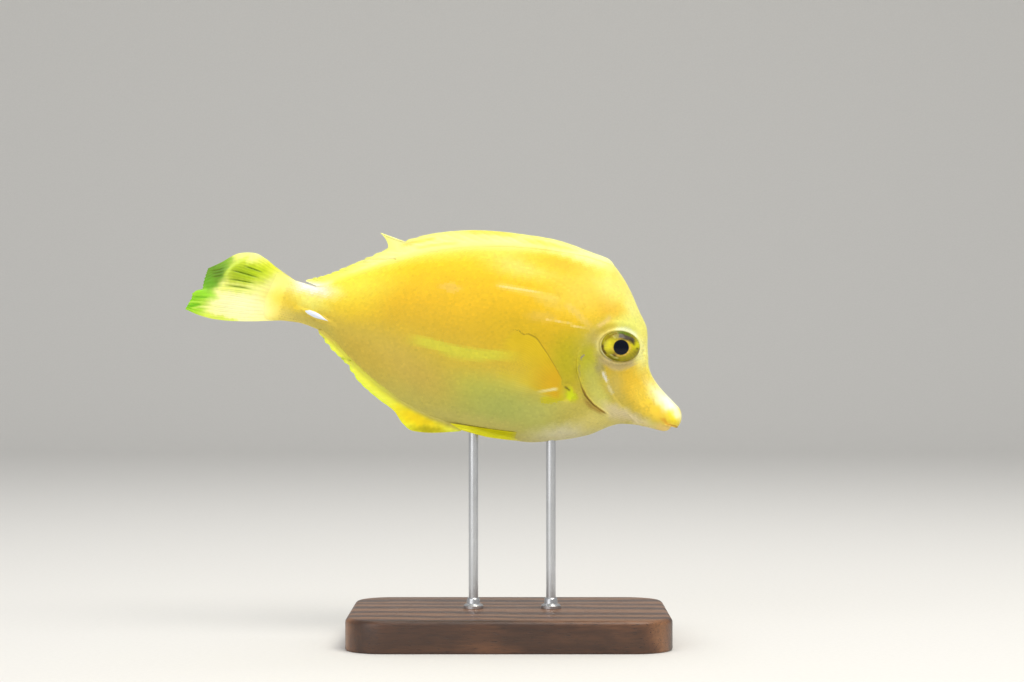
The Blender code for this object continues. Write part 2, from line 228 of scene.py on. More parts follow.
def named(name: str) -> bpy.types.Object:
    """Names the object that an operator just added.

    Args:
        name: the object's name and its mesh's.

    Returns:
        The object.
    """
    obj = bpy.context.object
    obj.name = name
    obj.data.name = name
    return obj


def points_of(obj: bpy.types.Object) -> Array:
    """The object's mesh points.

    Args:
        obj: the object.

    Returns:
        One row for each point.
    """
    points = np.empty(len(obj.data.vertices) * 3, np.float32)
    obj.data.vertices.foreach_get("co", points)
    return points.reshape(-1, 3).astype(float)


def move_points(obj: bpy.types.Object, points: Array) -> None:
    """Puts the object's mesh points where they belong."""
    obj.data.vertices.foreach_set("co", points.astype(np.float32).ravel())
    obj.data.update()


def flat_grid(name: str, across: int, along: int) -> tuple[bpy.types.Object, Array, Array]:
    """Adds a flat grid to be shaped.

    Args:
        name: the piece's name.
        across: how many steps it has one way.
        along: how many steps it has the other way.

    Returns:
        The object, and each point's share across and along.
    """
    bpy.ops.object.select_all(action="DESELECT")
    bpy.ops.mesh.primitive_grid_add(x_subdivisions=across, y_subdivisions=along, size=2.0)
    obj = named(name)
    shares = (points_of(obj) + 1.0) / 2.0
    return obj, shares[:, 0], shares[:, 1]


def add_values(obj: bpy.types.Object, name: str, values: Array) -> None:
    """Stores a number or a colour at each point of the mesh.

    Args:
        obj: the piece.
        name: the attribute's name.
        values: one number or one sRGB colour a point.
    """
    if values.ndim == 1:
        layer = obj.data.attributes.new(name, "FLOAT", "POINT")
        layer.data.foreach_set("value", values.astype(np.float32))
    else:
        layer = obj.data.attributes.new(name, "FLOAT_COLOR", "POINT")
        filled = np.concatenate([linear(values), np.ones((len(values), 1))], axis=1)
        layer.data.foreach_set("color", filled.astype(np.float32).ravel())


def apply_modifier(obj: bpy.types.Object, kind: str, **settings: object) -> None:
    """Adds a modifier with its settings and applies it.

    Args:
        obj: the piece.
        kind: the modifier's type.
        settings: its properties.
    """
    select_only(obj)
    modifier = obj.modifiers.new(kind.lower(), kind)
    for name, value in settings.items():
        setattr(modifier, name, value)
    bpy.ops.object.modifier_apply(modifier=modifier.name)


def thicken(obj: bpy.types.Object, half: Array) -> None:
    """Gives a sheet in metres its thickness on both sides, which half says in millimetres.

    Args:
        obj: the sheet.
        half: half its thickness at each point.
    """
    most = float(half.max())
    group = obj.vertex_groups.new(name="thickness")
    for index, weight in enumerate(half / most):
        group.add([index], float(weight), "REPLACE")
    apply_modifier(obj, "SOLIDIFY", thickness=2.0 * most * MM, offset=0.0, vertex_group="thickness")
    obj.vertex_groups.clear()


def close_up(obj: bpy.types.Object, sharp: float = 50.0, merge: float = 2e-6) -> None:
    """Merges the doubles, points the faces out and shades the piece smooth.

    Args:
        obj: the piece.
        sharp: the angle in degrees past which an edge stays sharp.
        merge: how near doubles lie, in metres.
    """
    select_only(obj)
    bpy.ops.object.mode_set(mode="EDIT")
    bpy.ops.mesh.select_all(action="SELECT")
    bpy.ops.mesh.remove_doubles(threshold=merge)
    bpy.ops.mesh.normals_make_consistent(inside=False)
    bpy.ops.object.mode_set(mode="OBJECT")
    bpy.ops.object.shade_smooth_by_angle(angle=math.radians(sharp))


def refine(obj: bpy.types.Object, wanted: Callable[[Array], Array]) -> None:
    """Subdivides the faces whose middles are wanted.

    Args:
        obj: the flat piece.
        wanted: says by their middles which faces to subdivide.
    """
    select_only(obj)
    mesh = obj.data
    middles = np.empty(len(mesh.polygons) * 3, np.float32)
    mesh.polygons.foreach_get("center", middles)
    chosen = wanted(middles.reshape(-1, 3).astype(float))
    bpy.context.tool_settings.mesh_select_mode = (False, False, True)
    mesh.vertices.foreach_set("select", np.zeros(len(mesh.vertices), bool))
    mesh.edges.foreach_set("select", np.zeros(len(mesh.edges), bool))
    mesh.polygons.foreach_set("select", chosen)
    bpy.ops.object.mode_set(mode="EDIT")
    bpy.ops.mesh.subdivide(number_cuts=1)
    bpy.ops.object.mode_set(mode="OBJECT")


def finish_piece(obj: bpy.types.Object, material: bpy.types.Material, slot: str, *nodes: str) -> None:
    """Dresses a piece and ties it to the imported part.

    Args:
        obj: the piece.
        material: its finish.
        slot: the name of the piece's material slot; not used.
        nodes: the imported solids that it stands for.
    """
    obj.data.materials.clear()
    obj.data.materials.append(material)
    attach(obj, "root")
    if nodes:
        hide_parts(*nodes)
    log.info("%s: %d points, %d faces", obj.name, len(obj.data.vertices), len(obj.data.polygons))


# Form of the flesh


@dataclass(frozen=True)
class Flesh:
    """The fish's body without its fins: its outline, width and cross-section along it."""

    snout_tip: float = 129.45
    snout_round: float = 2.2
    stalk_end: float = -4.5
    stalk_round: float = 2.5
    back_line: Line = (
        (-7, 8.0), (-3, 6.9), (1, 6.1), (5, 6.2), (9, 7.4), (14.7, 11), (28.5, 21.3), (38, 27.4),
        (51.5, 33.3),
        (64, 37), (77, 39.4), (88, 40.5), (94, 40.3), (98, 37.9), (102.3, 33.9), (107, 28.4),
        (110.7, 24.1), (112.6, 18.6), (114.4, 13.6), (116.2, 10.8), (120.6, 7.2), (125, 4.7),
        (128, 3.1), (129.8, 2.4),
    )
    belly_line: Line = (
        (-7, -8.5), (-3, -7.6), (0, -6.9), (2.6, -6.4), (6.4, -5.9), (11.2, -6.2), (15.3, -7.4),
        (24.6, -12.8), (37.9, -18.6),
        (51.2, -21.9), (60.7, -22.7), (72, -22.4), (83.9, -21.2), (93.4, -17.9), (102.8, -13.2),
        (108.4, -8.7), (111.4, -6.9), (117.9, -5.5), (125, -5.1), (128, -4.3), (129.8, -3.4),
    )
    half_line: Line = (
        (-7, 0.42), (-4, 0.95), (-1, 1.65), (2, 2.2), (5, 2.6), (10, 3), (20, 4.4), (35, 6.7), (50, 8.6),
        (65, 9.9), (78, 10.6), (88, 10.8),
        (97, 10.3), (104, 9.1), (110, 7.2), (115, 5.3), (119, 4.1), (124, 3.4), (129.8, 2.6),
    )
    level_line: Line = (
        (-3, 0), (20, 1), (50, 4), (80, 8), (98, 10), (108, 8), (114, 3.6), (120, 1), (129.8, -0.6),
    )
    back_pinch: Line = ((-3, 1.1), (20, 1.25), (60, 1.3), (92, 1.25), (106, 1.15), (120, 1))
    belly_pinch: Line = ((-3, 1.1), (30, 1.25), (60, 1.2), (90, 1.1), (110, 1))

    def run_ends(self) -> tuple[float, float]:
        """The first and last places along the skin, with both rounded ends unrolled.

        Returns:
            Both places, in millimetres along the skin.
        """
        quarter = math.pi / 2.0
        first = self.stalk_end - self.stalk_round * quarter
        return first, self.snout_tip - self.snout_round + self.snout_round * quarter

    def place(self, run: Array, turn: Array) -> Array:
        """Wraps unrolled places round the flesh.

        Args:
            run: how far along the skin, in millimetres.
            turn: the way round it, from 0 at the left flank over the back.

        Returns:
            Points in the fish's frame.
        """
        run, turn = np.broadcast_arrays(run, turn)
        nose = np.clip((run - self.snout_tip + self.snout_round) / self.snout_round, 0.0, math.pi / 2)
        tail = np.clip((self.stalk_end - run) / self.stalk_round, 0.0, math.pi / 2)
        straight = np.clip(run, self.stalk_end, self.snout_tip - self.snout_round)
        x = straight + self.snout_round * np.sin(nose) - self.stalk_round * np.sin(tail)
        cap = np.cos(nose) * np.cos(tail)
        level = smooth_line(self.level_line)(x)
        above = np.sin(turn) > 0.0
        rise = np.where(above, smooth_line(self.back_line)(x) - level,
                        level - smooth_line(self.belly_line)(x))
        pinch = np.where(above, smooth_line(self.back_pinch)(x), smooth_line(self.belly_pinch)(x))
        side = np.sign(np.cos(turn)) * np.abs(np.cos(turn)) ** pinch
        y = smooth_line(self.half_line)(x) * cap * side
        return np.stack([x, y, level + rise * cap * np.sin(turn)], axis=-1)

    def facing(self, run: Array, turn: Array) -> Array:
        """The outward direction of the flesh at unrolled places.

        Args:
            run: how far along the skin, in millimetres.
            turn: the way round it.

        Returns:
            Directions of length 1 in the fish's frame.
        """
        step = 0.02
        ahead = self.place(run + step, turn) - self.place(run - step, turn)
        around = self.place(run, turn + step) - self.place(run, turn - step)
        out = np.cross(ahead, around)
        size = np.linalg.norm(out, axis=-1, keepdims=True)
        ends = np.where(run > 50.0, 1.0, -1.0)[..., None] * np.array((1.0, 0.0, 0.0))
        return np.where(size > 1e-7, out / np.maximum(size, 1e-9), ends)

    def half_at(self, x: Array, z: Array) -> Array:
        """Half the flesh's width at a place seen from the side, and 0 outside it.

        Args:
            x: how far ahead each place is.
            z: how high each place is.

        Returns:
            Millimetres from the middle.
        """
        level = smooth_line(self.level_line)(x)
        above = z > level
        reach = np.where(above, smooth_line(self.back_line)(x) - level,
                         level - smooth_line(self.belly_line)(x))
        pinch = np.where(above, smooth_line(self.back_pinch)(x), smooth_line(self.belly_pinch)(x))
        t = np.minimum(np.abs(z - level) / reach, 1.0)
        return smooth_line(self.half_line)(x) * (1.0 - t * t) ** (pinch / 2.0)

    def height_share(self, x: Array, z: Array) -> Array:
        """How far up a place is, from 0 at the belly to 1 at the back."""
        low = smooth_line(self.belly_line)(x)
        return np.clip((z - low) / (smooth_line(self.back_line)(x) - low), 0.0, 1.0)


FLESH = Flesh()


@dataclass(frozen=True)
class Eye:
    """An eye: its opening in the skin, and the domed ball with its iris and pupil."""

    at: Point = (103.9, 16.2)
    opening: Point = (5.75, 4.25)
    tilt: float = math.radians(13.0)
    ball: Point = (6.4, 4.85)
    dome: float = 1.45
    sunk: float = 0.75
    back: float = 2.6
    pupil_at: Point = (-0.62, -0.5)
    pupil: Point = (2.52, 2.36)
    front: float = 0.8
    rings: int = 64
    spokes: int = 96

    def reach(self, x: Array, z: Array) -> Array:
        """Distance from the eye's middle, 1 at the opening's edge."""
        return oval_reach(x, z, self.at, self.opening, self.tilt)

    def seat(self) -> tuple[Array, Array]:
        """Finds where the eye sits on the flesh.

        Returns:
            The flesh's point under the eye's middle, and its outward direction.
        """
        level, top = (float(smooth_line(line)(self.at[0])) for line in (FLESH.level_line, FLESH.back_line))
        run = np.array([self.at[0]])
        turn = np.array([math.asin((self.at[1] - level) / (top - level))])
        return FLESH.place(run, turn)[0], FLESH.facing(run, turn)[0]

    def build(self, name: str, side: Side) -> bpy.types.Object:
        """Turns the eye: a painted ball with a flat iris, a raised pupil and a clear dome's curve.

        Args:
            name: the piece's name.
            side: the side of the head that it sits on.

        Returns:
            The eye.
        """
        ball, spoke, share = flat_grid(name, self.spokes, self.rings)
        angle = 2.0 * math.pi * spoke
        front = share < self.front
        r = np.where(front, share / self.front, 1.0)
        behind = np.clip((share - self.front) / (1.0 - self.front), 0.0, 1.0) * math.pi / 2.0
        right = r * np.cos(behind) * np.cos(angle)
        upward = r * np.cos(behind) * np.sin(angle)
        a, b = right * self.ball[0], upward * self.ball[1]
        pupil = np.hypot((a - self.pupil_at[0]) / self.pupil[0], (b - self.pupil_at[1]) / self.pupil[1])
        height = self.dome * (1.0 - r ** 2.4) ** 0.75 - self.back * np.sin(behind)
        raised = 0.16 * (1.0 - smooth_step(0.7, 1.15, pupil)) - 0.07 * hump(pupil, 1.14, 0.08)
        height += np.where(front, raised, 0.0)
        middle, out = self.seat()
        ahead = np.array((math.cos(self.tilt), 0.0, math.sin(self.tilt)))
        ahead -= out * (ahead @ out)
        ahead /= np.linalg.norm(ahead)
        above = np.cross(ahead, out)
        above *= np.sign(above[2])
        points = middle - self.sunk * out + a[:, None] * ahead + b[:, None] * above + height[:, None] * out
        x, z = points[:, 0], points[:, 2]
        paint = sprayed(graded(IRIS_GRADE, r), IRIS_LAYERS, x, z)
        ring = hump(pupil, 1.11, 0.09) * (0.6 + 0.45 * np.clip(right - upward, -1.0, 1.0))
        paint = paint + (srgb("#e8b860") - paint) * ring[:, None]
        add_values(ball, "paint", paint)
        add_values(ball, "pupil", pupil)
        spokes = ball.data.attributes.new("spoke", "FLOAT_VECTOR", "POINT")
        circle = np.stack([np.cos(angle) * 4.0, np.sin(angle) * 4.0, r * 0.5], axis=-1)
        spokes.data.foreach_set("vector", circle.astype(np.float32).ravel())
        points[:, 1] *= side.value
        move_points(ball, to_row(points))
        close_up(ball, 60.0, 1e-6)
        return ball


@dataclass(frozen=True)
class TailBlade:
    """A tail blade: a slim lancet with its point ahead, folded into its groove."""

    at: Point = (10.1, -2.35)
    half: Point = (4.4, 0.85)
    tilt: float = math.radians(-7.3)
    crown: float = 0.12
    off: float = 3.24
    thick: float = 0.6
    spread: float = 0.45

    def reach(self, x: Array, z: Array) -> Array:
        """Distance from the blade's middle, 1 at its edge."""
        return oval_reach(x, z, self.at, self.half, self.tilt)

    def build(self, name: str, side: Side) -> bpy.types.Object:
        """Shapes one blade.

        Args:
            name: the piece's name.
            side: the side of the tail stalk that it sits on.

        Returns:
            The blade.
        """
        bpy.ops.object.select_all(action="DESELECT")
        bpy.ops.mesh.primitive_uv_sphere_add(segments=40, ring_count=28, radius=1.0,
                                             rotation=(0.0, math.pi / 2.0, 0.0))
        blade = named(name)
        bpy.ops.object.transform_apply(location=False, rotation=True, scale=False)
        along, out, up = points_of(blade).T
        girth = np.sqrt(np.maximum(1.0 - along ** 2, 1e-9))
        slim = np.where(along > 0.0, 1.0 - np.abs(along) ** 1.5, (1.0 - np.abs(along) ** 2.6) ** 0.7)
        out, up = out / girth * slim, up / girth * slim
        keel = np.sign(up) * np.abs(up) ** 1.25
        a = along * self.half[0]
        b = keel * self.half[1] + self.crown * (1.0 - along ** 2)
        c, s = math.cos(self.tilt), math.sin(self.tilt)
        x = self.at[0] + a * c - b * s
        z = self.at[1] + a * s + b * c
        y = side.value * (self.off + self.thick * out + self.spread * along)
        move_points(blade, to_row(np.stack([x, y, z], axis=-1)))
        close_up(blade, 60.0, 1e-7)
        return blade


EYE = Eye()
BLADE = TailBlade()
GILL_EDGE: Line = (
    (93.2, 14.6), (92.1, 11.2), (92.2, 8.2), (93.2, 5.1), (95.6, 1.6), (97.6, -1.1), (100.8, -3.2),
    (104.1, -4.5), (107.4, -5.3),
)
CHEEK_EDGE: Line = ((98.6, 10.6), (99.8, 8.6), (102.1, 5.9), (104.4, 3.3), (107.0, 0.9), (111.0, -1.8))
JAW_CREASE: Line = ((111.6, -2.6), (114.6, -4.0), (118.4, -5.4), (121.5, -6.2))
MOUTH_SLIT: Line = ((133.0, -2.4), (128.6, -2.75), (126.6, -2.75), (124.9, -3.1), (123.9, -3.7))
LATERAL_LINE: Line = (
    (93.5, 21.5), (86, 27.5), (75, 30.4), (62, 30), (48, 25.6), (34, 17.8), (22, 9.6), (13.5, 4.4), (4, 1.6),
)
NOSTRILS = ((111.2, 17.5, 0.42), (112.15, 16.3, 0.3))
PECTORAL_BASE = (92.6, -2.5)
TAIL_LENGTH = 30.0
TAIL_MERGE = (-3.0, 5.5)


class Relief:
    """The skin's fine form: everything on it that stands proud of the plain flesh or sinks into it."""

    def __init__(self) -> None:
        """Lays out the lines that the relief follows."""
        shares = np.linspace(0.0, 1.0, 49)
        self.gill = path_at(GILL_EDGE, shares)
        self.cheek = path_at(CHEEK_EDGE, shares[::2])
        self.jaw = path_at(JAW_CREASE, shares[::2])
        self.mouth = path_at(MOUTH_SLIT, shares[::2])
        self.lateral = path_at(LATERAL_LINE, shares)

    def gill_step(self, x: Array, z: Array) -> Array:
        """The gill cover's free edge: a thin lip over a narrow cleft.

        Args:
            x: how far ahead each place is.
            z: how high each place is.

        Returns:
            Millimetres outwards.
        """
        away, share = path_reach(x, z, self.gill)
        away = -away
        ends = between_ends(share, 0.3, 0.93)
        cover = 0.16 * hump(np.maximum(away, 0.0), 0.25, 1.5)
        cleft = -0.42 * hump(np.minimum(away, 0.0), -0.1, 0.5) - 0.2 * hump(np.minimum(away, 0.0), 0.0, 2.4)
        lip = smooth_step(-0.16, 0.1, away)
        return ends * (cover * lip + cleft * (1.0 - lip))

    def mouth_fold(self, x: Array, z: Array) -> Array:
        """The mouth: two full lips parted by a slit, and the fold behind its corner.

        Args:
            x: how far ahead each place is.
            z: how high each place is.

        Returns:
            Millimetres outwards.
        """
        away, share = path_reach(x, z, self.mouth)
        front = smooth_step(122.5, 126.0, x)
        lips = 0.16 * front * (hump(away, 0.95, 0.75) + hump(away, -0.95, 0.6))
        slit = -0.5 * hump(away, 0.0, 0.16) * (1.0 - smooth_step(0.72, 1.0, share))
        collar = -0.12 * hump(x + 0.35 * z, 124.6, 0.6) * (z > -3.0)
        return lips + slit + collar

    def height(self, x: Array, z: Array) -> Array:
        """How far the skin stands out from the plain flesh, in millimetres.

        Args:
            x: how far ahead each place is.
            z: how high each place is.

        Returns:
            Millimetres outwards.
        """
        eye = EYE.reach(x, z)
        total = 0.3 * hump(eye, 1.075, 0.055) - 0.1 * hump(eye, 1.2, 0.05) + 0.22 * hump(eye, 1.38, 0.17)
        total -= 0.12 * hump(eye, 1.75, 0.16)
        total += self.gill_step(x, z) + self.mouth_fold(x, z)
        away, share = path_reach(x, z, self.cheek)
        ends = between_ends(share, 0.2, 0.75)
        total += ends * (0.07 * hump(away, 0.0, 0.42) - 0.1 * hump(away, -0.9, 0.6))
        away, share = path_reach(x, z, self.jaw)
        ends = between_ends(share, 0.3, 0.7)
        total -= 0.2 * ends * hump(away, 0.0, 0.35)
        away, share = path_reach(x, z, self.lateral)
        ends = between_ends(share, 0.05, 0.92)
        total += ends * (0.045 * hump(away, 0.0, 0.3) - 0.03 * hump(away, 0.0, 0.9))
        for ahead, up, size in NOSTRILS:
            away = np.hypot(x - ahead, z - up) / size
            total += 0.1 * hump(away, 1.3, 0.35) - 0.45 * (1.0 - smooth_step(0.6, 1.05, away))
        blade = BLADE.reach(x, z)
        total += 0.05 * hump(blade, 1.5, 0.3) - 0.5 * (1.0 - smooth_step(0.9, 1.25, blade))
        base = np.hypot((x - PECTORAL_BASE[0]) / 2.6, (z - PECTORAL_BASE[1]) / 3.3)
        total += 0.55 * (1.0 - smooth_step(0.2, 1.25, base))
        brow = 0.25 * hump(np.hypot((x - 103.0) / 9.0, (z - 23.0) / 2.6), 0.0, 0.8)
        nape = 0.18 * hump(np.hypot((x - 93.0) / 5.5, (z - 38.2) / 2.2), 0.0, 0.9)
        return total + brow + nape

    def socket(self, x: Array, z: Array) -> Array:
        """How deep the skin turns in under the eye's edge."""
        return 3.4 * (1.0 - smooth_step(0.86, 1.015, EYE.reach(x, z)))


RELIEF = Relief()


# Paint


@dataclass(frozen=True)
class Wash:
    """A soft oval of colour sprayed on the side of the fish."""

    colour: str
    at: Point
    half: Point
    turn: float = 0.0
    soft: float = 0.9
    strength: float = 1.0
    loose: float = 1.0

    def cover(self, x: Array, z: Array) -> Array:
        """How strongly the colour covers each place."""
        away = oval_reach(x, z, self.at, self.half, math.radians(self.turn))
        return self.strength * (1.0 - smooth_step(1.0 - self.soft, 1.0 + self.soft, away))


@dataclass(frozen=True)
class Stroke:
    """A soft line of colour drawn along a path on the side of the fish."""

    colour: str
    path: Line
    width: float
    soft: float
    strength: float = 1.0
    fade: Point = (0.2, 0.2)
    loose: float = 0.25

    def cover(self, x: Array, z: Array) -> Array:
        """How strongly the colour covers each place.

        Args:
            x: how far ahead each place is.
            z: how high each place is.

        Returns:
            Shares from 0 to 1.
        """
        away, share = path_reach(x, z, path_at(self.path, np.linspace(0.0, 1.0, 25)))
        ends = smooth_step(0.0, self.fade[0] + TINY, share)
        ends = ends * smooth_step(0.0, self.fade[1] + TINY, 1.0 - share)
        return self.strength * ends * (1.0 - smooth_step(self.width, self.width + self.soft, np.abs(away)))


Layer = Wash | Stroke


def graded(stops: Sequence[tuple[float, str]], share: Array) -> Array:
    """A colour that changes evenly between stops.

    Args:
        stops: places in rising order, each with its colour.
        share: the places to colour.

    Returns:
        One sRGB colour for each place.
    """
    places = [place for place, _ in stops]
    colours = np.array([srgb(colour) for _, colour in stops])
    return np.stack([np.interp(share, places, colours[:, k]) for k in range(3)], axis=-1)


def sprayed(base: Array, layers: Sequence[Layer], x: Array, z: Array) -> Array:
    """Lays the layers of paint one over another on a base colour.

    Args:
        base: the sRGB colours under the layers.
        layers: the layers, in the order of spraying.
        x: how far ahead each place is.
        z: how high each place is.

    Returns:
        The painted colours.
    """
    loose_x = 0.22 * np.sin(1.9 * z + 0.7 * x) + 0.12 * np.sin(4.3 * z - 2.1 * x)
    loose_z = 0.22 * np.sin(1.6 * x - 0.8 * z) + 0.12 * np.sin(3.9 * x + 1.7 * z)
    for layer in layers:
        cover = layer.cover(x + layer.loose * loose_x, z + layer.loose * loose_z)[:, None]
        base = base + (srgb(layer.colour) - base) * cover
    return base


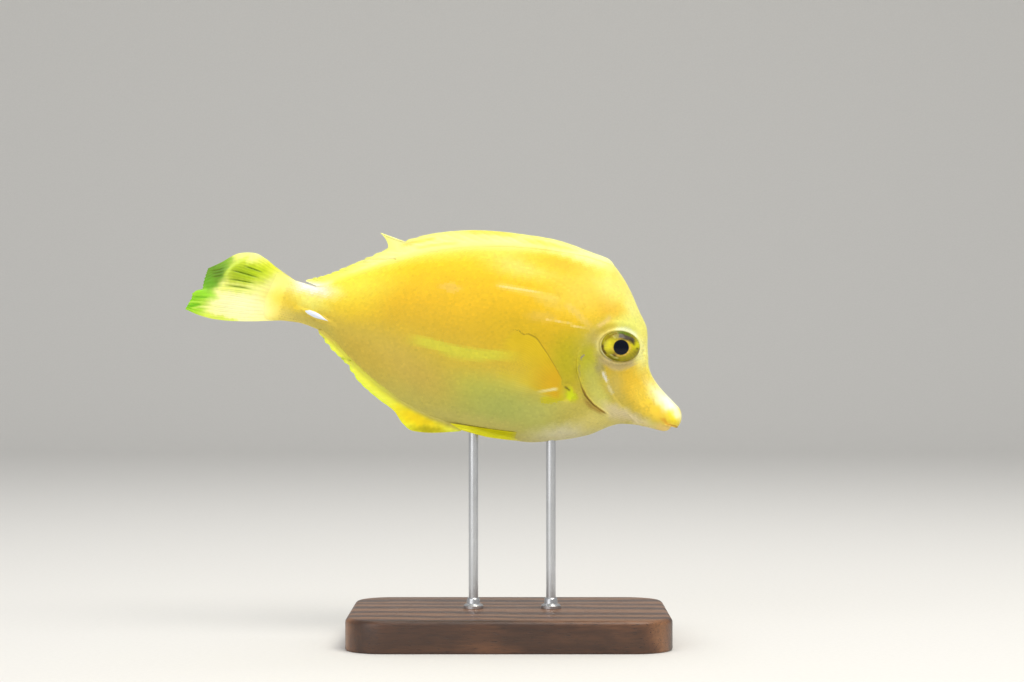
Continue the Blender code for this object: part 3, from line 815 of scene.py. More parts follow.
# Colours from belly to back. The yellow is the fish's own; the paler back and the near-white top edge are
# painted light from above, and the belly end is painted lighter against its shade.
BODY_GRADE = (
    (0.0, "#d2c860"), (0.1, "#cdc45a"), (0.2, "#d2bd4a"), (0.3, "#d6bc3e"), (0.5, "#e0b822"),
    (0.65, "#f2c216"),
    (0.78, "#fbcc1c"), (0.9, "#fbd928"), (0.96, "#ffea50"), (1.0, "#fff68c"),
)
BODY_LAYERS: tuple[Layer, ...] = (
    Wash("#fff04a", (18, 10), (12, 6), 32, strength=0.9),
    Wash("#fbd622", (22, 3.4), (8, 4), 20, strength=0.6),
    Wash("#fddb52", (88, 28), (10, 7), 0, strength=0.8),
    Wash("#ffee7e", (67, 31), (9, 3.2), 6, strength=0.7),
    Wash("#fbc812", (80, 36.0), (11, 2.6), 8, strength=0.95),
    # Painted highlight: near-white along the top of the back behind the head, as lit from above.
    Wash("#ffffa6", (86, 40.2), (11, 2.4), -2, strength=0.9),
    Wash("#d6b410", (77, 11), (14, 7), 0, strength=0.6),
    Wash("#bcb010", (90, 7), (5, 8), 10, strength=0.9),
    Wash("#c4b83e", (94.5, 12), (4, 7), 12, strength=0.8),
    Wash("#c2c650", (66, -9), (10, 4.5), 14, strength=0.65),
    Wash("#d8b850", (42, -9.5), (15, 6), -20, strength=0.6),
    Wash("#b4bf60", (76, -12.5), (13, 5.5), 14, strength=0.75),
    # Painted light: a paler band along the belly's lower edge, lifting it against its shade.
    Wash("#d2c86e", (76, -19.5), (26, 2.6), 6, strength=0.8),
    Wash("#dcba42", (26, -9.5), (13, 5), -24, strength=0.75),
    Wash("#c6c768", (90, -12), (9, 5), 20, strength=0.75),
    Wash("#d0c054", (97, -8.5), (7, 4.5), 30, strength=0.75),
    # Painted rim light: a pale band along the throat's lower edge.
    Wash("#eee8ba", (96, -14.6), (11, 2.8), 26, strength=0.95),
    Wash("#efe07c", (104.5, -7.6), (6.5, 3), 30, strength=0.9),
    Stroke("#dcd63a", ((38, -1.2), (46, -0.2), (54, 0.0), (62, 1.0), (70, 2.9), (78, 4.6)), 0.9, 1.3, 0.85,
           (0.2, 0.3)),
    Stroke("#dcd43c", ((49, -1.6), (55, -1.5), (61, -0.5), (68, 0.6)), 0.6, 1.2, 0.6, (0.3, 0.3)),
    # Painted highlight: near-white on top of the tail stalk.
    Wash("#fffdf2", (5.5, 5.4), (7.5, 2.6), 6, strength=1.0),
    Wash("#fffa7a", (5.5, 1.2), (6, 2.4), 0, strength=0.85),
    Wash("#f8d430", (-0.4, -1.2), (4.6, 2.6), 0, strength=0.8),
    Wash("#dcc45c", (6, -4.9), (7, 1.8), 6, strength=0.8),
    Wash("#fffd9a", (-4.6, 4.2), (5, 2.8), 14, strength=0.9),
    Wash("#f6e070", (-2.6, -4.8), (5.0, 2.6), 4, strength=0.85),
    # Painted highlights: pale on the forehead's edge and on the front of the head, as lit from above and in
    # front.
    Wash("#fffb90", (104.5, 29), (3.2, 10), 28, strength=0.95),
    Wash("#fffda0", (111.4, 16), (3.0, 7), 14, strength=0.9),
    Wash("#f4c43a", (98.4, 26.4), (4.4, 2.8), -35, strength=0.7),
    Wash("#f8fa7c", (104.2, 23.2), (5.0, 2.8), 6, strength=0.95),
    # Painted highlight: pale on the top of the head.
    Wash("#fff27c", (97.5, 34), (5, 4.5), -30, strength=0.8),
    Wash("#d6c446", (97.4, 20.4), (2.6, 2.8), -20, strength=0.65),
    Wash("#c4b26c", (95.8, 14.6), (2.6, 4.4), 10, strength=0.75),
    Wash("#bdb70c", (95.6, 9), (2.2, 4.6), 10, strength=0.9),
    Wash("#c4c35c", (98.8, 4), (3.4, 6), 28, strength=0.8),
    Wash("#9c9468", (99.6, 8.8), (1.2, 3.0), 20, strength=0.75),
    Wash("#d8d668", (103.4, -1.2), (4.4, 2.6), -35, strength=0.8),
    Wash("#cfba62", (106.5, 5), (2.8, 5), 20, strength=0.7),
    Wash("#f6ca34", (113.2, 5.4), (6.2, 4.0), -38, strength=0.95),
    Wash("#fddc4c", (116, 2.6), (4.6, 2.6), -40, strength=0.8),
    # Painted highlights: near-white on the top of the snout, as lit from above and in front.
    Wash("#fffdd0", (121.8, 4.3), (6.6, 2.3), -34, strength=0.97),
    Wash("#fffff0", (124.8, 3.6), (3.4, 1.3), -34, strength=0.95),
    Wash("#fbd640", (119.5, 0.2), (4.6, 1.6), -24, strength=0.8),
    Wash("#eddcae", (114, -3.9), (8.5, 1.6), -8, strength=0.85),
    Wash("#e8d8a6", (108.6, -4.4), (3.6, 2.0), -20, strength=0.75),
    Wash("#f8e22a", (127.2, -0.3), (2.6, 1.7), -10, strength=0.95),
    # Painted highlight: a near-white spot over the upper lip.
    Wash("#ffffc8", (128.0, 1.1), (2.1, 1.2), -40, strength=0.95),
    Wash("#f2d07e", (125.2, -4.2), (2.6, 1.1), 0, strength=0.9),
    Wash("#e0a62c", (124.9, -2.1), (1.5, 0.5), -14, strength=0.85),
    Wash("#e4e4a8", EYE.at, (7.2, 5.6), 12, soft=0.25, strength=0.6),
    # Painted highlight: a pale line above the eye.
    Stroke("#f6fdd4", ((100.4, 20.0), (102.6, 21.4), (105, 21.8), (107, 21.2), (108.8, 19.7)), 0.2, 1.1,
           0.75),
    Stroke("#d2bf92", ((98.6, 12), (101.4, 10.4), (104.6, 9.8), (108, 11.6), (110.6, 14.2)), 0.6, 1.3, 0.7),
    # Painted highlight: a thin pale line on the eye's lower rim.
    Stroke("#e6e6c2", ((98.2, 13.9), (99.3, 12.7), (100.9, 11.6), (103.3, 11.1)), 0.08, 0.22, 0.7),
    Stroke("#f0cf84", ((95.0, 19.6), (97.2, 22.0), (98.8, 24.8)), 0.15, 1.0, 0.6),
    Stroke("#d9d8dc", ((100.8, 7.7), (102.5, 5.5), (103.9, 3.9)), 0.28, 0.6, 0.8, (0.3, 0.3)),
    Stroke("#cfcbb4", ((103.6, 4.2), (105, 2.6), (106.6, 1.1)), 0.2, 0.8, 0.5),
    Stroke("#8c8490", ((93.8, 10.9), (93.6, 9.6), (93.3, 8.4)), 0.12, 0.35, 0.75, (0.3, 0.3)),
    Stroke("#a0925c", ((93.4, 7.6), (93.8, 5.8), (94.9, 2.6)), 0.1, 0.4, 0.5),
    # Painted reflections: pale streaks along the upper flank, as a sheen catching the light.
    Stroke("#ffeb9c", ((60.6, 22.9), (65.6, 23.6), (69.9, 24.3), (73.6, 24.8), (77.2, 25)), 0.12, 0.5, 0.7,
           (0.2, 0.3)),
    Stroke("#ffe488", ((59.5, 23.3), (64, 23.6), (70, 24.0), (80, 24.4), (84, 23.9)), 0.5, 1.3, 0.4),
    Stroke("#fbe3a0", ((78.6, 17.2), (81.8, 18.2), (84.4, 18.0), (87.4, 18.3), (92, 18.4), (95, 18.9)), 0.1,
           0.45,
           0.65, (0.1, 0.4)),
    Wash("#e8c25c", (78, 18), (4.6, 1.7), 12, soft=0.6, strength=0.5),
    Wash("#eccb62", (78.5, 22.4), (4.4, 1.1), -4, soft=0.7, strength=0.4),
    Stroke("#f2d070", ((82.8, 24.3), (87.2, 22.6), (91.2, 20.4), (94.6, 19.1)), 0.4, 1.2, 0.5),
    Wash("#fbce66", (48.2, 18.4), (3.4, 1.4), 6, soft=0.35, strength=0.6),
    Wash("#ccd600", (93.8, -2.6), (2.2, 1.5), -50, soft=0.6, strength=0.97),
    Stroke("#d4c812", ((84.5, -7.2), (89, -5.6), (92.6, -3.4)), 0.5, 1.0, 0.85),
    Stroke("#5e5208", ((90.8, -0.6), (92.2, -1.2), (93.4, -1.6)), 0.1, 0.35, 0.85, (0.3, 0.3)),
    Stroke("#7d5f1c", ((95.0, 2.4), (97.5, -0.8), (100.8, -3.2), (103.9, -4.4), (106.6, -5.2)), 0.12, 0.4,
           0.85,
           (0.3, 0.12)),
    Stroke("#b8903a", ((97.4, -1.9), (100.4, -4.2), (103.8, -4.9), (106, -5.4)), 0.2, 0.9, 0.6, (0.3, 0.25)),
    Stroke("#b07a22", ((130, -2.5), (128.0, -2.6), (126.4, -2.7), (125.0, -2.8)), 0.06, 0.3, 0.8, (0, 0.3)),
    Stroke("#e8ea52", ((15.6, -8.2), (22, -11.7), (30, -15.8), (38, -19.0), (44, -20.6)), 0.4, 1.0, 0.8,
           (0.1, 0.3)),
    # Painted shade: a dark line in the crease above the pelvic fin.
    Stroke("#8a7418", ((58.2, -22.5), (62.7, -21.8), (70.3, -20.7), (76, -19.6)), 0.05, 0.35, 0.35,
           (0.1, 0.3)),
)

TAIL_GRADE = (
    (0.0, "#fbe262"), (0.12, "#fdf07e"), (0.26, "#fff9a0"), (0.45, "#fefcb0"), (0.75, "#fbf99a"),
    (1.0, "#e2f568"),
)
TAIL_LAYERS: tuple[Layer, ...] = (
    Wash("#fbe04a", (-1.5, -1.2), (5.5, 2.8), 4, strength=0.8),
    Wash("#fffdc0", (-14.5, -6.4), (8.5, 3.6), 14, strength=0.85),
    Wash("#cfe54c", (-19, -12.4), (9, 1.1), 4, soft=0.6, strength=0.85),
    Wash("#eef63e", (-10, 7.4), (6.5, 2.4), 24, strength=0.9),
    Wash("#aac70c", (-14.5, 4.2), (6.2, 3.4), 14, strength=0.93),
    Wash("#93ae10", (-17.6, 3.2), (3.6, 2.8), 30, strength=0.6),
    Wash("#e4f46a", (-17.5, -1.9), (7, 1.1), 8, strength=0.7),
    # Painted highlight: pale at the top where the upper lobe rolls over at its crease.
    Wash("#f2fb90", (-15.6, 9.4), (3.4, 1.6), -12, soft=0.7, strength=0.85),
    # Dark greens on the upper lobe past its crease: partly the fin's own green, partly painted shade where
    # the lobe turns away from the light.
    Wash("#6a9a24", (-25.2, 1.2), (4.0, 5.8), -16, soft=0.4, strength=0.97),
    Wash("#6fb026", (-26.2, -2.8), (3.0, 2.6), 0, soft=0.6, strength=0.8),
    Wash("#86b436", (-22.8, 5.8), (2.4, 2.4), 40, soft=0.7, strength=0.8),
    Wash("#8cd824", (-25.4, -6.3), (3.2, 1.4), 8, soft=0.8, strength=0.85),
    Wash("#7fc80a", (-28.8, -9.8), (4.0, 3.6), 0, soft=0.8, strength=0.95),
    # Painted highlight: a pale line along the crease where the upper lobe folds.
    Stroke("#d8f05e", ((-15.2, 9.4), (-17.6, 7.2), (-19.8, 4.8), (-21.0, 1.2), (-21.7, -0.8)), 0.12, 0.8, 0.7,
           (0.1, 0.35)),
    Stroke("#c8f060", ((-31, -10.6), (-28, -9.4), (-24.6, -8.4)), 0.08, 0.4, 0.6),
    Stroke("#5fae10", ((-30.4, -12.0), (-28, -10.6), (-25.4, -9.4)), 0.08, 0.4, 0.6),
    Stroke("#5fae10", ((-28.6, -8.2), (-26.4, -7.4), (-24, -6.8)), 0.08, 0.4, 0.5),
    Stroke("#f6fba0", ((-29, -11.9), (-24, -9.8), (-18, -8.4)), 0.1, 0.5, 0.5),
)
IRIS_GRADE = ((0.0, "#d6cc1e"), (0.82, "#d2c81c"), (1.0, "#857a12"))
IRIS_LAYERS: tuple[Layer, ...] = (
    Wash("#ece334", (100.4, 15.4), (1.7, 2.6), -18, strength=0.85),
    Wash("#d9da1a", (108.8, 18.2), (1.5, 2.2), -50, strength=0.85),
    Wash("#a89f10", (106.9, 13.7), (3.0, 1.1), 24, strength=0.8),
    Wash("#d6c22e", (107.0, 16.6), (1.3, 2.0), -20, strength=0.7),
    Stroke("#4c443e", ((102.3, 19.1), (104.2, 19.5), (105.7, 19.45), (106.9, 19.1), (107.9, 18.4)), 0.5, 0.4,
           0.95,
           (0.12, 0.15)),
    Stroke("#332c1c", ((105.6, 19.3), (106.9, 18.9), (108.0, 18.1), (108.3, 17.4)), 0.12, 0.4, 0.7,
           (0.3, 0.3)),
    Stroke("#47390f", ((102.4, 13.5), (103.1, 13.2), (103.8, 12.85)), 0.22, 0.35, 0.9, (0.25, 0.25)),
    Stroke("#6b6c18", ((100.8, 12.4), (102.5, 11.9), (104.1, 11.8), (105.6, 12.1)), 0.15, 0.3, 0.8,
           (0.2, 0.3)),
    Stroke("#d8d494", ((101.3, 13.1), (102.4, 12.6), (103.4, 12.3), (104.9, 12.4)), 0.06, 0.25, 0.7),
    # Painted shadow: a dark arc at the eye's left edge, where the skin meets the eye.
    Stroke("#5a481a", ((98.5, 15.6), (98.9, 14.0), (100.8, 12.4)), 0.22, 0.3, 0.9, (0.15, 0.2)),
    Stroke("#86700f", ((98.9, 16.2), (99.6, 17.8), (100.9, 19.1), (102, 20.1)), 0.12, 0.3, 0.85, (0.1, 0.1)),
    Stroke("#56700e", ((101.6, 19.9), (103.4, 20.6), (105, 20.6), (106.8, 20.0)), 0.2, 0.3, 0.9, (0.2, 0.25)),
    Wash("#66660e", (109.3, 17.1), (0.35, 0.3), 0, soft=0.6, strength=0.9, loose=0.0),
)


# Finishes


# Nearly all of a noise's values lie between these.
NOISE_RANGE = {"From Min": 0.3, "From Max": 0.7}
MIXED = {"data_type": "RGBA", "out": 2}
MULTIPLIED = {"data_type": "RGBA", "blend_type": "MULTIPLY", "out": 2}


def add_node(tree: bpy.types.NodeTree, kind: str, inputs: dict[str | int, object] | None = None,
             out: str | int = 0, **settings: object) -> bpy.types.NodeSocket:
    """Adds a shader node.

    Args:
        tree: the material's node tree.
        kind: the node's type, without the ShaderNode that it starts with.
        inputs: its sockets' values, or the sockets that are linked to them.
        out: which of its outputs is wanted.
        settings: its properties.

    Returns:
        The wanted output.
    """
    node = tree.nodes.new("ShaderNode" + kind)
    for name, value in settings.items():
        setattr(node, name, value)
    for name, value in (inputs or {}).items():
        if isinstance(value, bpy.types.NodeSocket):
            tree.links.new(value, node.inputs[name])
        else:
            node.inputs[name].default_value = value
    return node.outputs[out]


def new_material(name: str, **sockets: object) -> tuple[bpy.types.NodeTree, bpy.types.Material]:
    """Starts a material, with these values on its shader.

    Args:
        name: the material's name.
        sockets: values, by the socket's name with low lines for spaces.

    Returns:
        The node tree and the material.
    """
    material = bpy.data.materials.new(name)
    material.use_nodes = True
    shader = material.node_tree.nodes["Principled BSDF"]
    for socket, value in sockets.items():
        shader.inputs[socket.replace("_", " ")].default_value = value
    return material.node_tree, material


def dress(tree: bpy.types.NodeTree, **sockets: bpy.types.NodeSocket) -> None:
    """Links patterns to the shader's own sockets.

    Args:
        tree: the material's node tree.
        sockets: patterns, by the socket's name with low lines for spaces.
    """
    shader = tree.nodes["Principled BSDF"]
    for socket, pattern in sockets.items():
        tree.links.new(pattern, shader.inputs[socket.replace("_", " ")])


def per_metre(size: float) -> float:
    """A pattern's scale on Object coordinates for features of this size in millimetres."""
    return 1000.0 / size


@dataclass(frozen=True)
class PaintedHide:
    """Airbrushed acrylic under satin varnish on cast resin: soft colour with a moist sheen and fine grain."""

    name: str = "airbrushed_resin_hide"
    roughness: float = 0.42
    scale_size: float = 0.55
    scale_depth: float = 0.035
    mottle: float = 0.022

    def make(self) -> bpy.types.Material:
        """Builds the material.

        Returns:
            The material.
        """
        tree, material = new_material(
            self.name, IOR=1.45, Specular_IOR_Level=0.3, Subsurface_Weight=0.1, Subsurface_Scale=0.0012,
            Subsurface_Radius=(1.0, 0.75, 0.2), Coat_Weight=0.12, Coat_Roughness=0.22, Coat_IOR=1.4,
        )
        place = add_node(tree, "TexCoord", out="Object")
        paint = add_node(tree, "Attribute", attribute_name="paint", out="Color")
        cloud = add_node(tree, "TexNoise", {"Vector": place, "Scale": per_metre(9.0), "Detail": 3.0})
        cloud = add_node(tree, "MapRange", NOISE_RANGE | {
            "Value": cloud, "To Min": 1.0 - self.mottle, "To Max": 1.0 + self.mottle,
        })
        speck = add_node(tree, "TexNoise", {"Vector": place, "Scale": per_metre(0.9)})
        speck = add_node(tree, "MapRange", NOISE_RANGE | {
            "Value": speck, "To Min": 1.0 - 0.7 * self.mottle, "To Max": 1.0 + 0.7 * self.mottle,
        })
        shade = add_node(tree, "Math", {0: cloud, 1: speck}, operation="MULTIPLY")
        rough = add_node(tree, "TexNoise", {"Vector": place, "Scale": per_metre(3.0), "Detail": 3.0})
        lying = add_node(tree, "Mapping", {
            "Vector": place, "Rotation": (0.0, NOSE_DOWN, 0.0), "Scale": (0.8, 1.0, 1.15),
        })
        cells = add_node(tree, "TexVoronoi", {
            "Vector": lying, "Scale": per_metre(self.scale_size), "Randomness": 0.8,
        }, feature="F1")
        dimples = add_node(tree, "MapRange", {"Value": cells, "From Max": 0.7, "To Min": 1.0, "To Max": 0.0})
        grain = add_node(tree, "TexNoise", {"Vector": place, "Scale": per_metre(0.25)})
        pores = add_node(tree, "Bump", {"Height": grain, "Distance": 0.01 * MM})
        dress(
            tree,
            Base_Color=add_node(tree, "Mix", {0: 1.0, 6: paint, 7: shade}, **MULTIPLIED),
            Roughness=add_node(tree, "MapRange", NOISE_RANGE | {
                "Value": rough, "To Min": self.roughness - 0.05, "To Max": self.roughness + 0.09,
            }),
            Normal=add_node(tree, "Bump", {
                "Height": dimples, "Distance": self.scale_depth * MM, "Normal": pores,
            }),
        )
        return material


@dataclass(frozen=True)
class FinFilm:
    """Thin tinted cast film over hair-fine rays: translucent, glossy, with jointed rays and ribbed grain."""

    name: str = "tinted_fin_film"
    roughness: float = 0.33
    joint: float = 0.55

    def make(self) -> bpy.types.Material:
        """Builds the material.

        Returns:
            The material.
        """
        tree, material = new_material(
            self.name, IOR=1.45, Specular_IOR_Level=0.3, Subsurface_Weight=0.25, Subsurface_Scale=0.0012,
            Subsurface_Radius=(1.0, 0.9, 0.25), Coat_Weight=0.1, Coat_Roughness=0.25, Coat_IOR=1.4,
        )
        place = add_node(tree, "TexCoord", out="Object")
        paint = add_node(tree, "Attribute", attribute_name="paint", out="Color")
        ray = add_node(tree, "Attribute", attribute_name="ray", out="Fac")
        along = add_node(tree, "Attribute", attribute_name="along", out="Fac")
        cloud = add_node(tree, "TexNoise", {"Vector": place, "Scale": per_metre(4.0), "Detail": 3.0})
        cloud = add_node(tree, "MapRange", NOISE_RANGE | {"Value": cloud, "To Min": 0.95, "To Max": 1.05})
        vein = add_node(tree, "MapRange", {"Value": ray, "To Min": 0.93, "To Max": 1.05})
        shade = add_node(tree, "Math", {0: cloud, 1: vein}, operation="MULTIPLY")
        rough = add_node(tree, "TexNoise", {"Vector": place, "Scale": per_metre(2.0)})
        turns = add_node(tree, "Math", {0: along, 1: 2.0 * math.pi / self.joint}, operation="MULTIPLY")
        joints = add_node(tree, "Math", {0: turns}, operation="SINE")
        knots = add_node(tree, "Math", {0: joints, 1: ray}, operation="MULTIPLY")
        grain = add_node(tree, "TexNoise", {"Vector": place, "Scale": per_metre(0.3)})
        ribs = add_node(tree, "Bump", {"Height": grain, "Distance": 0.008 * MM})
        dress(
            tree,
            Base_Color=add_node(tree, "Mix", {0: 1.0, 6: paint, 7: shade}, **MULTIPLIED),
            Roughness=add_node(tree, "MapRange", NOISE_RANGE | {
                "Value": rough, "To Min": self.roughness - 0.05, "To Max": self.roughness + 0.1,
            }),
            Normal=add_node(tree, "Bump", {"Height": knots, "Distance": 0.012 * MM, "Normal": ribs}),
        )
        return material


@dataclass(frozen=True)
class GlassEye:
    """A painted glass eye: a bright threaded iris round a black pupil, under a clear, wet dome."""

    name: str = "painted_glass_eye"
    black: str = "#020817"

    def make(self) -> bpy.types.Material:
        """Builds the material.

        Returns:
            The material.
        """
        tree, material = new_material(
            self.name, IOR=1.45, Specular_IOR_Level=0.1, Coat_Weight=0.45, Coat_Roughness=0.02, Coat_IOR=1.34,
        )
        place = add_node(tree, "TexCoord", out="Object")
        paint = add_node(tree, "Attribute", attribute_name="paint", out="Color")
        pupil = add_node(tree, "Attribute", attribute_name="pupil", out="Fac")
        spokes = add_node(tree, "Attribute", attribute_name="spoke", out="Vector")
        threads = add_node(tree, "TexNoise", {"Vector": spokes, "Scale": per_metre(160.0), "Detail": 3.0})
        threads = add_node(tree, "MapRange", NOISE_RANGE | {"Value": threads, "To Min": 0.78, "To Max": 1.16})
        iris = add_node(tree, "Mix", {0: 1.0, 6: paint, 7: threads}, **MULTIPLIED)
        # The pupil attribute is 1 at the pupil's edge.
        inside = add_node(tree, "MapRange", {
            "Value": pupil, "From Min": 0.96, "From Max": 1.03, "To Min": 1.0, "To Max": 0.0,
        })
        fleck = add_node(tree, "TexNoise", {"Vector": place, "Scale": per_metre(0.35)})
        ripple = add_node(tree, "TexNoise", {"Vector": place, "Scale": per_metre(0.5)})
        dress(
            tree,
            Base_Color=add_node(tree, "Mix", {0: inside, 6: iris, 7: rgba(self.black)}, **MIXED),
            Roughness=add_node(tree, "MapRange", NOISE_RANGE | {"Value": fleck, "To Min": 0.2,
                                                                "To Max": 0.4}),
            Normal=add_node(tree, "Bump", {"Height": ripple, "Distance": 0.01 * MM}),
        )
        return material


@dataclass(frozen=True)
class PolishedBone:
    """Polished bone white: a smooth, hard gloss with faint lengthwise streaks."""

    name: str = "polished_bone_blade"
    colour: str = "#e6edf8"
    shade: str = "#ccd2e4"

    def make(self) -> bpy.types.Material:
        """Builds the material.

        Returns:
            The material.
        """
        tree, material = new_material(
            self.name, IOR=1.54, Coat_Weight=0.6, Coat_Roughness=0.08, Subsurface_Weight=0.2,
            Subsurface_Radius=(0.8, 0.8, 0.9), Subsurface_Scale=0.0008,
        )
        place = add_node(tree, "TexCoord", out="Object")
        lying = add_node(tree, "Mapping", {
            "Vector": place, "Rotation": (0.0, NOSE_DOWN, 0.0), "Scale": (0.12, 1.0, 1.0),
        })
        streak = add_node(tree, "TexNoise", {"Vector": lying, "Scale": per_metre(0.45), "Detail": 3.0})
        share = add_node(tree, "MapRange", NOISE_RANGE | {"Value": streak, "To Min": 0.0, "To Max": 0.6})
        dress(
            tree,
            Base_Color=add_node(tree, "Mix", {0: share, 6: rgba(self.colour), 7: rgba(self.shade)}, **MIXED),
            Roughness=add_node(tree, "MapRange", NOISE_RANGE | {"Value": streak, "To Min": 0.2,
                                                                "To Max": 0.32}),
            Normal=add_node(tree, "Bump", {"Height": streak, "Distance": 0.01 * MM}),
        )
        return material


@dataclass(frozen=True)
class OiledWalnut:
    """Sawn and oiled walnut: dark brown figure along the board, open pores and a low satin sheen."""

    name: str = "oiled_walnut"
    light: str = "#8a5f3e"
    mid: str = "#6a442a"
    dark: str = "#412717"
    pore: str = "#2b180d"
    ring: float = 6.0

    def make(self) -> bpy.types.Material:
        """Builds the material.

        Returns:
            The material.
        """
        tree, material = new_material(self.name, IOR=1.5, Coat_Weight=0.25, Coat_Roughness=0.3, Coat_IOR=1.5)
        place = add_node(tree, "TexCoord", out="Object")
        board = add_node(tree, "Mapping", {
            "Vector": place, "Rotation": (0.12, 0.03, 0.06), "Scale": (0.09, 1.0, 0.7),
        })
        bend = add_node(tree, "TexNoise", {"Vector": place, "Scale": per_metre(30.0), "Detail": 3.0})
        wander = add_node(tree, "Mix", {0: 0.004, 6: board, 7: bend}, **MIXED, blend_type="LINEAR_LIGHT")
        rings = add_node(tree, "TexWave", {
            "Vector": wander, "Scale": per_metre(self.ring) * 0.157, "Distortion": 5.0, "Detail": 4.0,
            "Detail Scale": 1.6, "Detail Roughness": 0.6,
        }, out="Fac", wave_type="BANDS", bands_direction="Y")
        figure = add_node(tree, "ValToRGB", {"Fac": rings})
        stops = figure.node.color_ramp.elements
        stops[0].color, stops[1].color = rgba(self.dark), rgba(self.light)
        stops.new(0.45).color = rgba(self.mid)
        fibre = add_node(tree, "TexNoise", {"Vector": board, "Scale": per_metre(0.5), "Detail": 3.0})
        flecks = add_node(tree, "MapRange", NOISE_RANGE | {"Value": fibre, "To Min": 0.55, "To Max": 1.25})
        flecked = add_node(tree, "Mix", {0: 0.55, 6: figure, 7: flecks}, **MULTIPLIED)
        slits = add_node(tree, "Mapping", {"Vector": place, "Scale": (0.1, 1.0, 1.0)})
        pores = add_node(tree, "TexNoise", {"Vector": slits, "Scale": per_metre(0.28), "Detail": 1.0})
        pores = add_node(tree, "MapRange", {"Value": pores, "From Min": 0.62, "From Max": 0.72})
        depth = add_node(tree, "Math", {0: fibre, 1: pores}, operation="SUBTRACT")
        dress(
            tree,
            Base_Color=add_node(tree, "Mix", {0: pores, 6: flecked, 7: rgba(self.pore)}, **MIXED),
            Roughness=add_node(tree, "MapRange", NOISE_RANGE | {"Value": fibre, "To Min": 0.36,
                                                                "To Max": 0.52}),
            Normal=add_node(tree, "Bump", {"Height": depth, "Distance": 0.04 * MM}),
        )
        return material


@dataclass(frozen=True)
class BrushedSteel:
    """Stainless rod brushed along its length: fine lengthwise lines in a soft grey shine."""

    name: str = "brushed_stainless_rod"
    colour: str = "#c9cbce"

    def make(self) -> bpy.types.Material:
        """Builds the material.

        Returns:
            The material.
        """
        tree, material = new_material(self.name, Metallic=1.0, Anisotropic=0.4)
        place = add_node(tree, "TexCoord", out="Object")
        drawn = add_node(tree, "Mapping", {"Vector": place, "Scale": (1.0, 1.0, 0.02)})
        lines = add_node(tree, "TexNoise", {"Vector": drawn, "Scale": per_metre(0.12), "Detail": 3.0})
        smear = add_node(tree, "TexNoise", {"Vector": place, "Scale": per_metre(9.0)})
        smear = add_node(tree, "MapRange", NOISE_RANGE | {"Value": smear, "To Min": 0.92, "To Max": 1.04})
        dress(
            tree,
            Base_Color=add_node(tree, "Mix", {0: 1.0, 6: rgba(self.colour), 7: smear}, **MULTIPLIED),
            Roughness=add_node(tree, "MapRange", NOISE_RANGE | {"Value": lines, "To Min": 0.22,
                                                                "To Max": 0.4}),
            Normal=add_node(tree, "Bump", {"Height": lines, "Distance": 0.006 * MM}),
        )
        return material


@dataclass(frozen=True)
class StudioPaper:
    """Matt pale backdrop paper with the faintest tooth."""

    name: str = "matt_backdrop_paper"
    colour: str = "#e6e5e2"

    def make(self) -> bpy.types.Material:
        """Builds the material.

        Returns:
            The material.
        """
        tree, material = new_material(self.name, Roughness=0.9)
        place = add_node(tree, "TexCoord", out="Object")
        fibre = add_node(tree, "TexNoise", {"Vector": place, "Scale": per_metre(1.5)})
        tooth = add_node(tree, "MapRange", NOISE_RANGE | {"Value": fibre, "To Min": 0.985, "To Max": 1.015})
        dress(
            tree,
            Base_Color=add_node(tree, "Mix", {0: 1.0, 6: rgba(self.colour), 7: tooth}, **MULTIPLIED),
            Normal=add_node(tree, "Bump", {"Height": fibre, "Distance": 0.02 * MM}),
        )
        return material


# Skin and scales


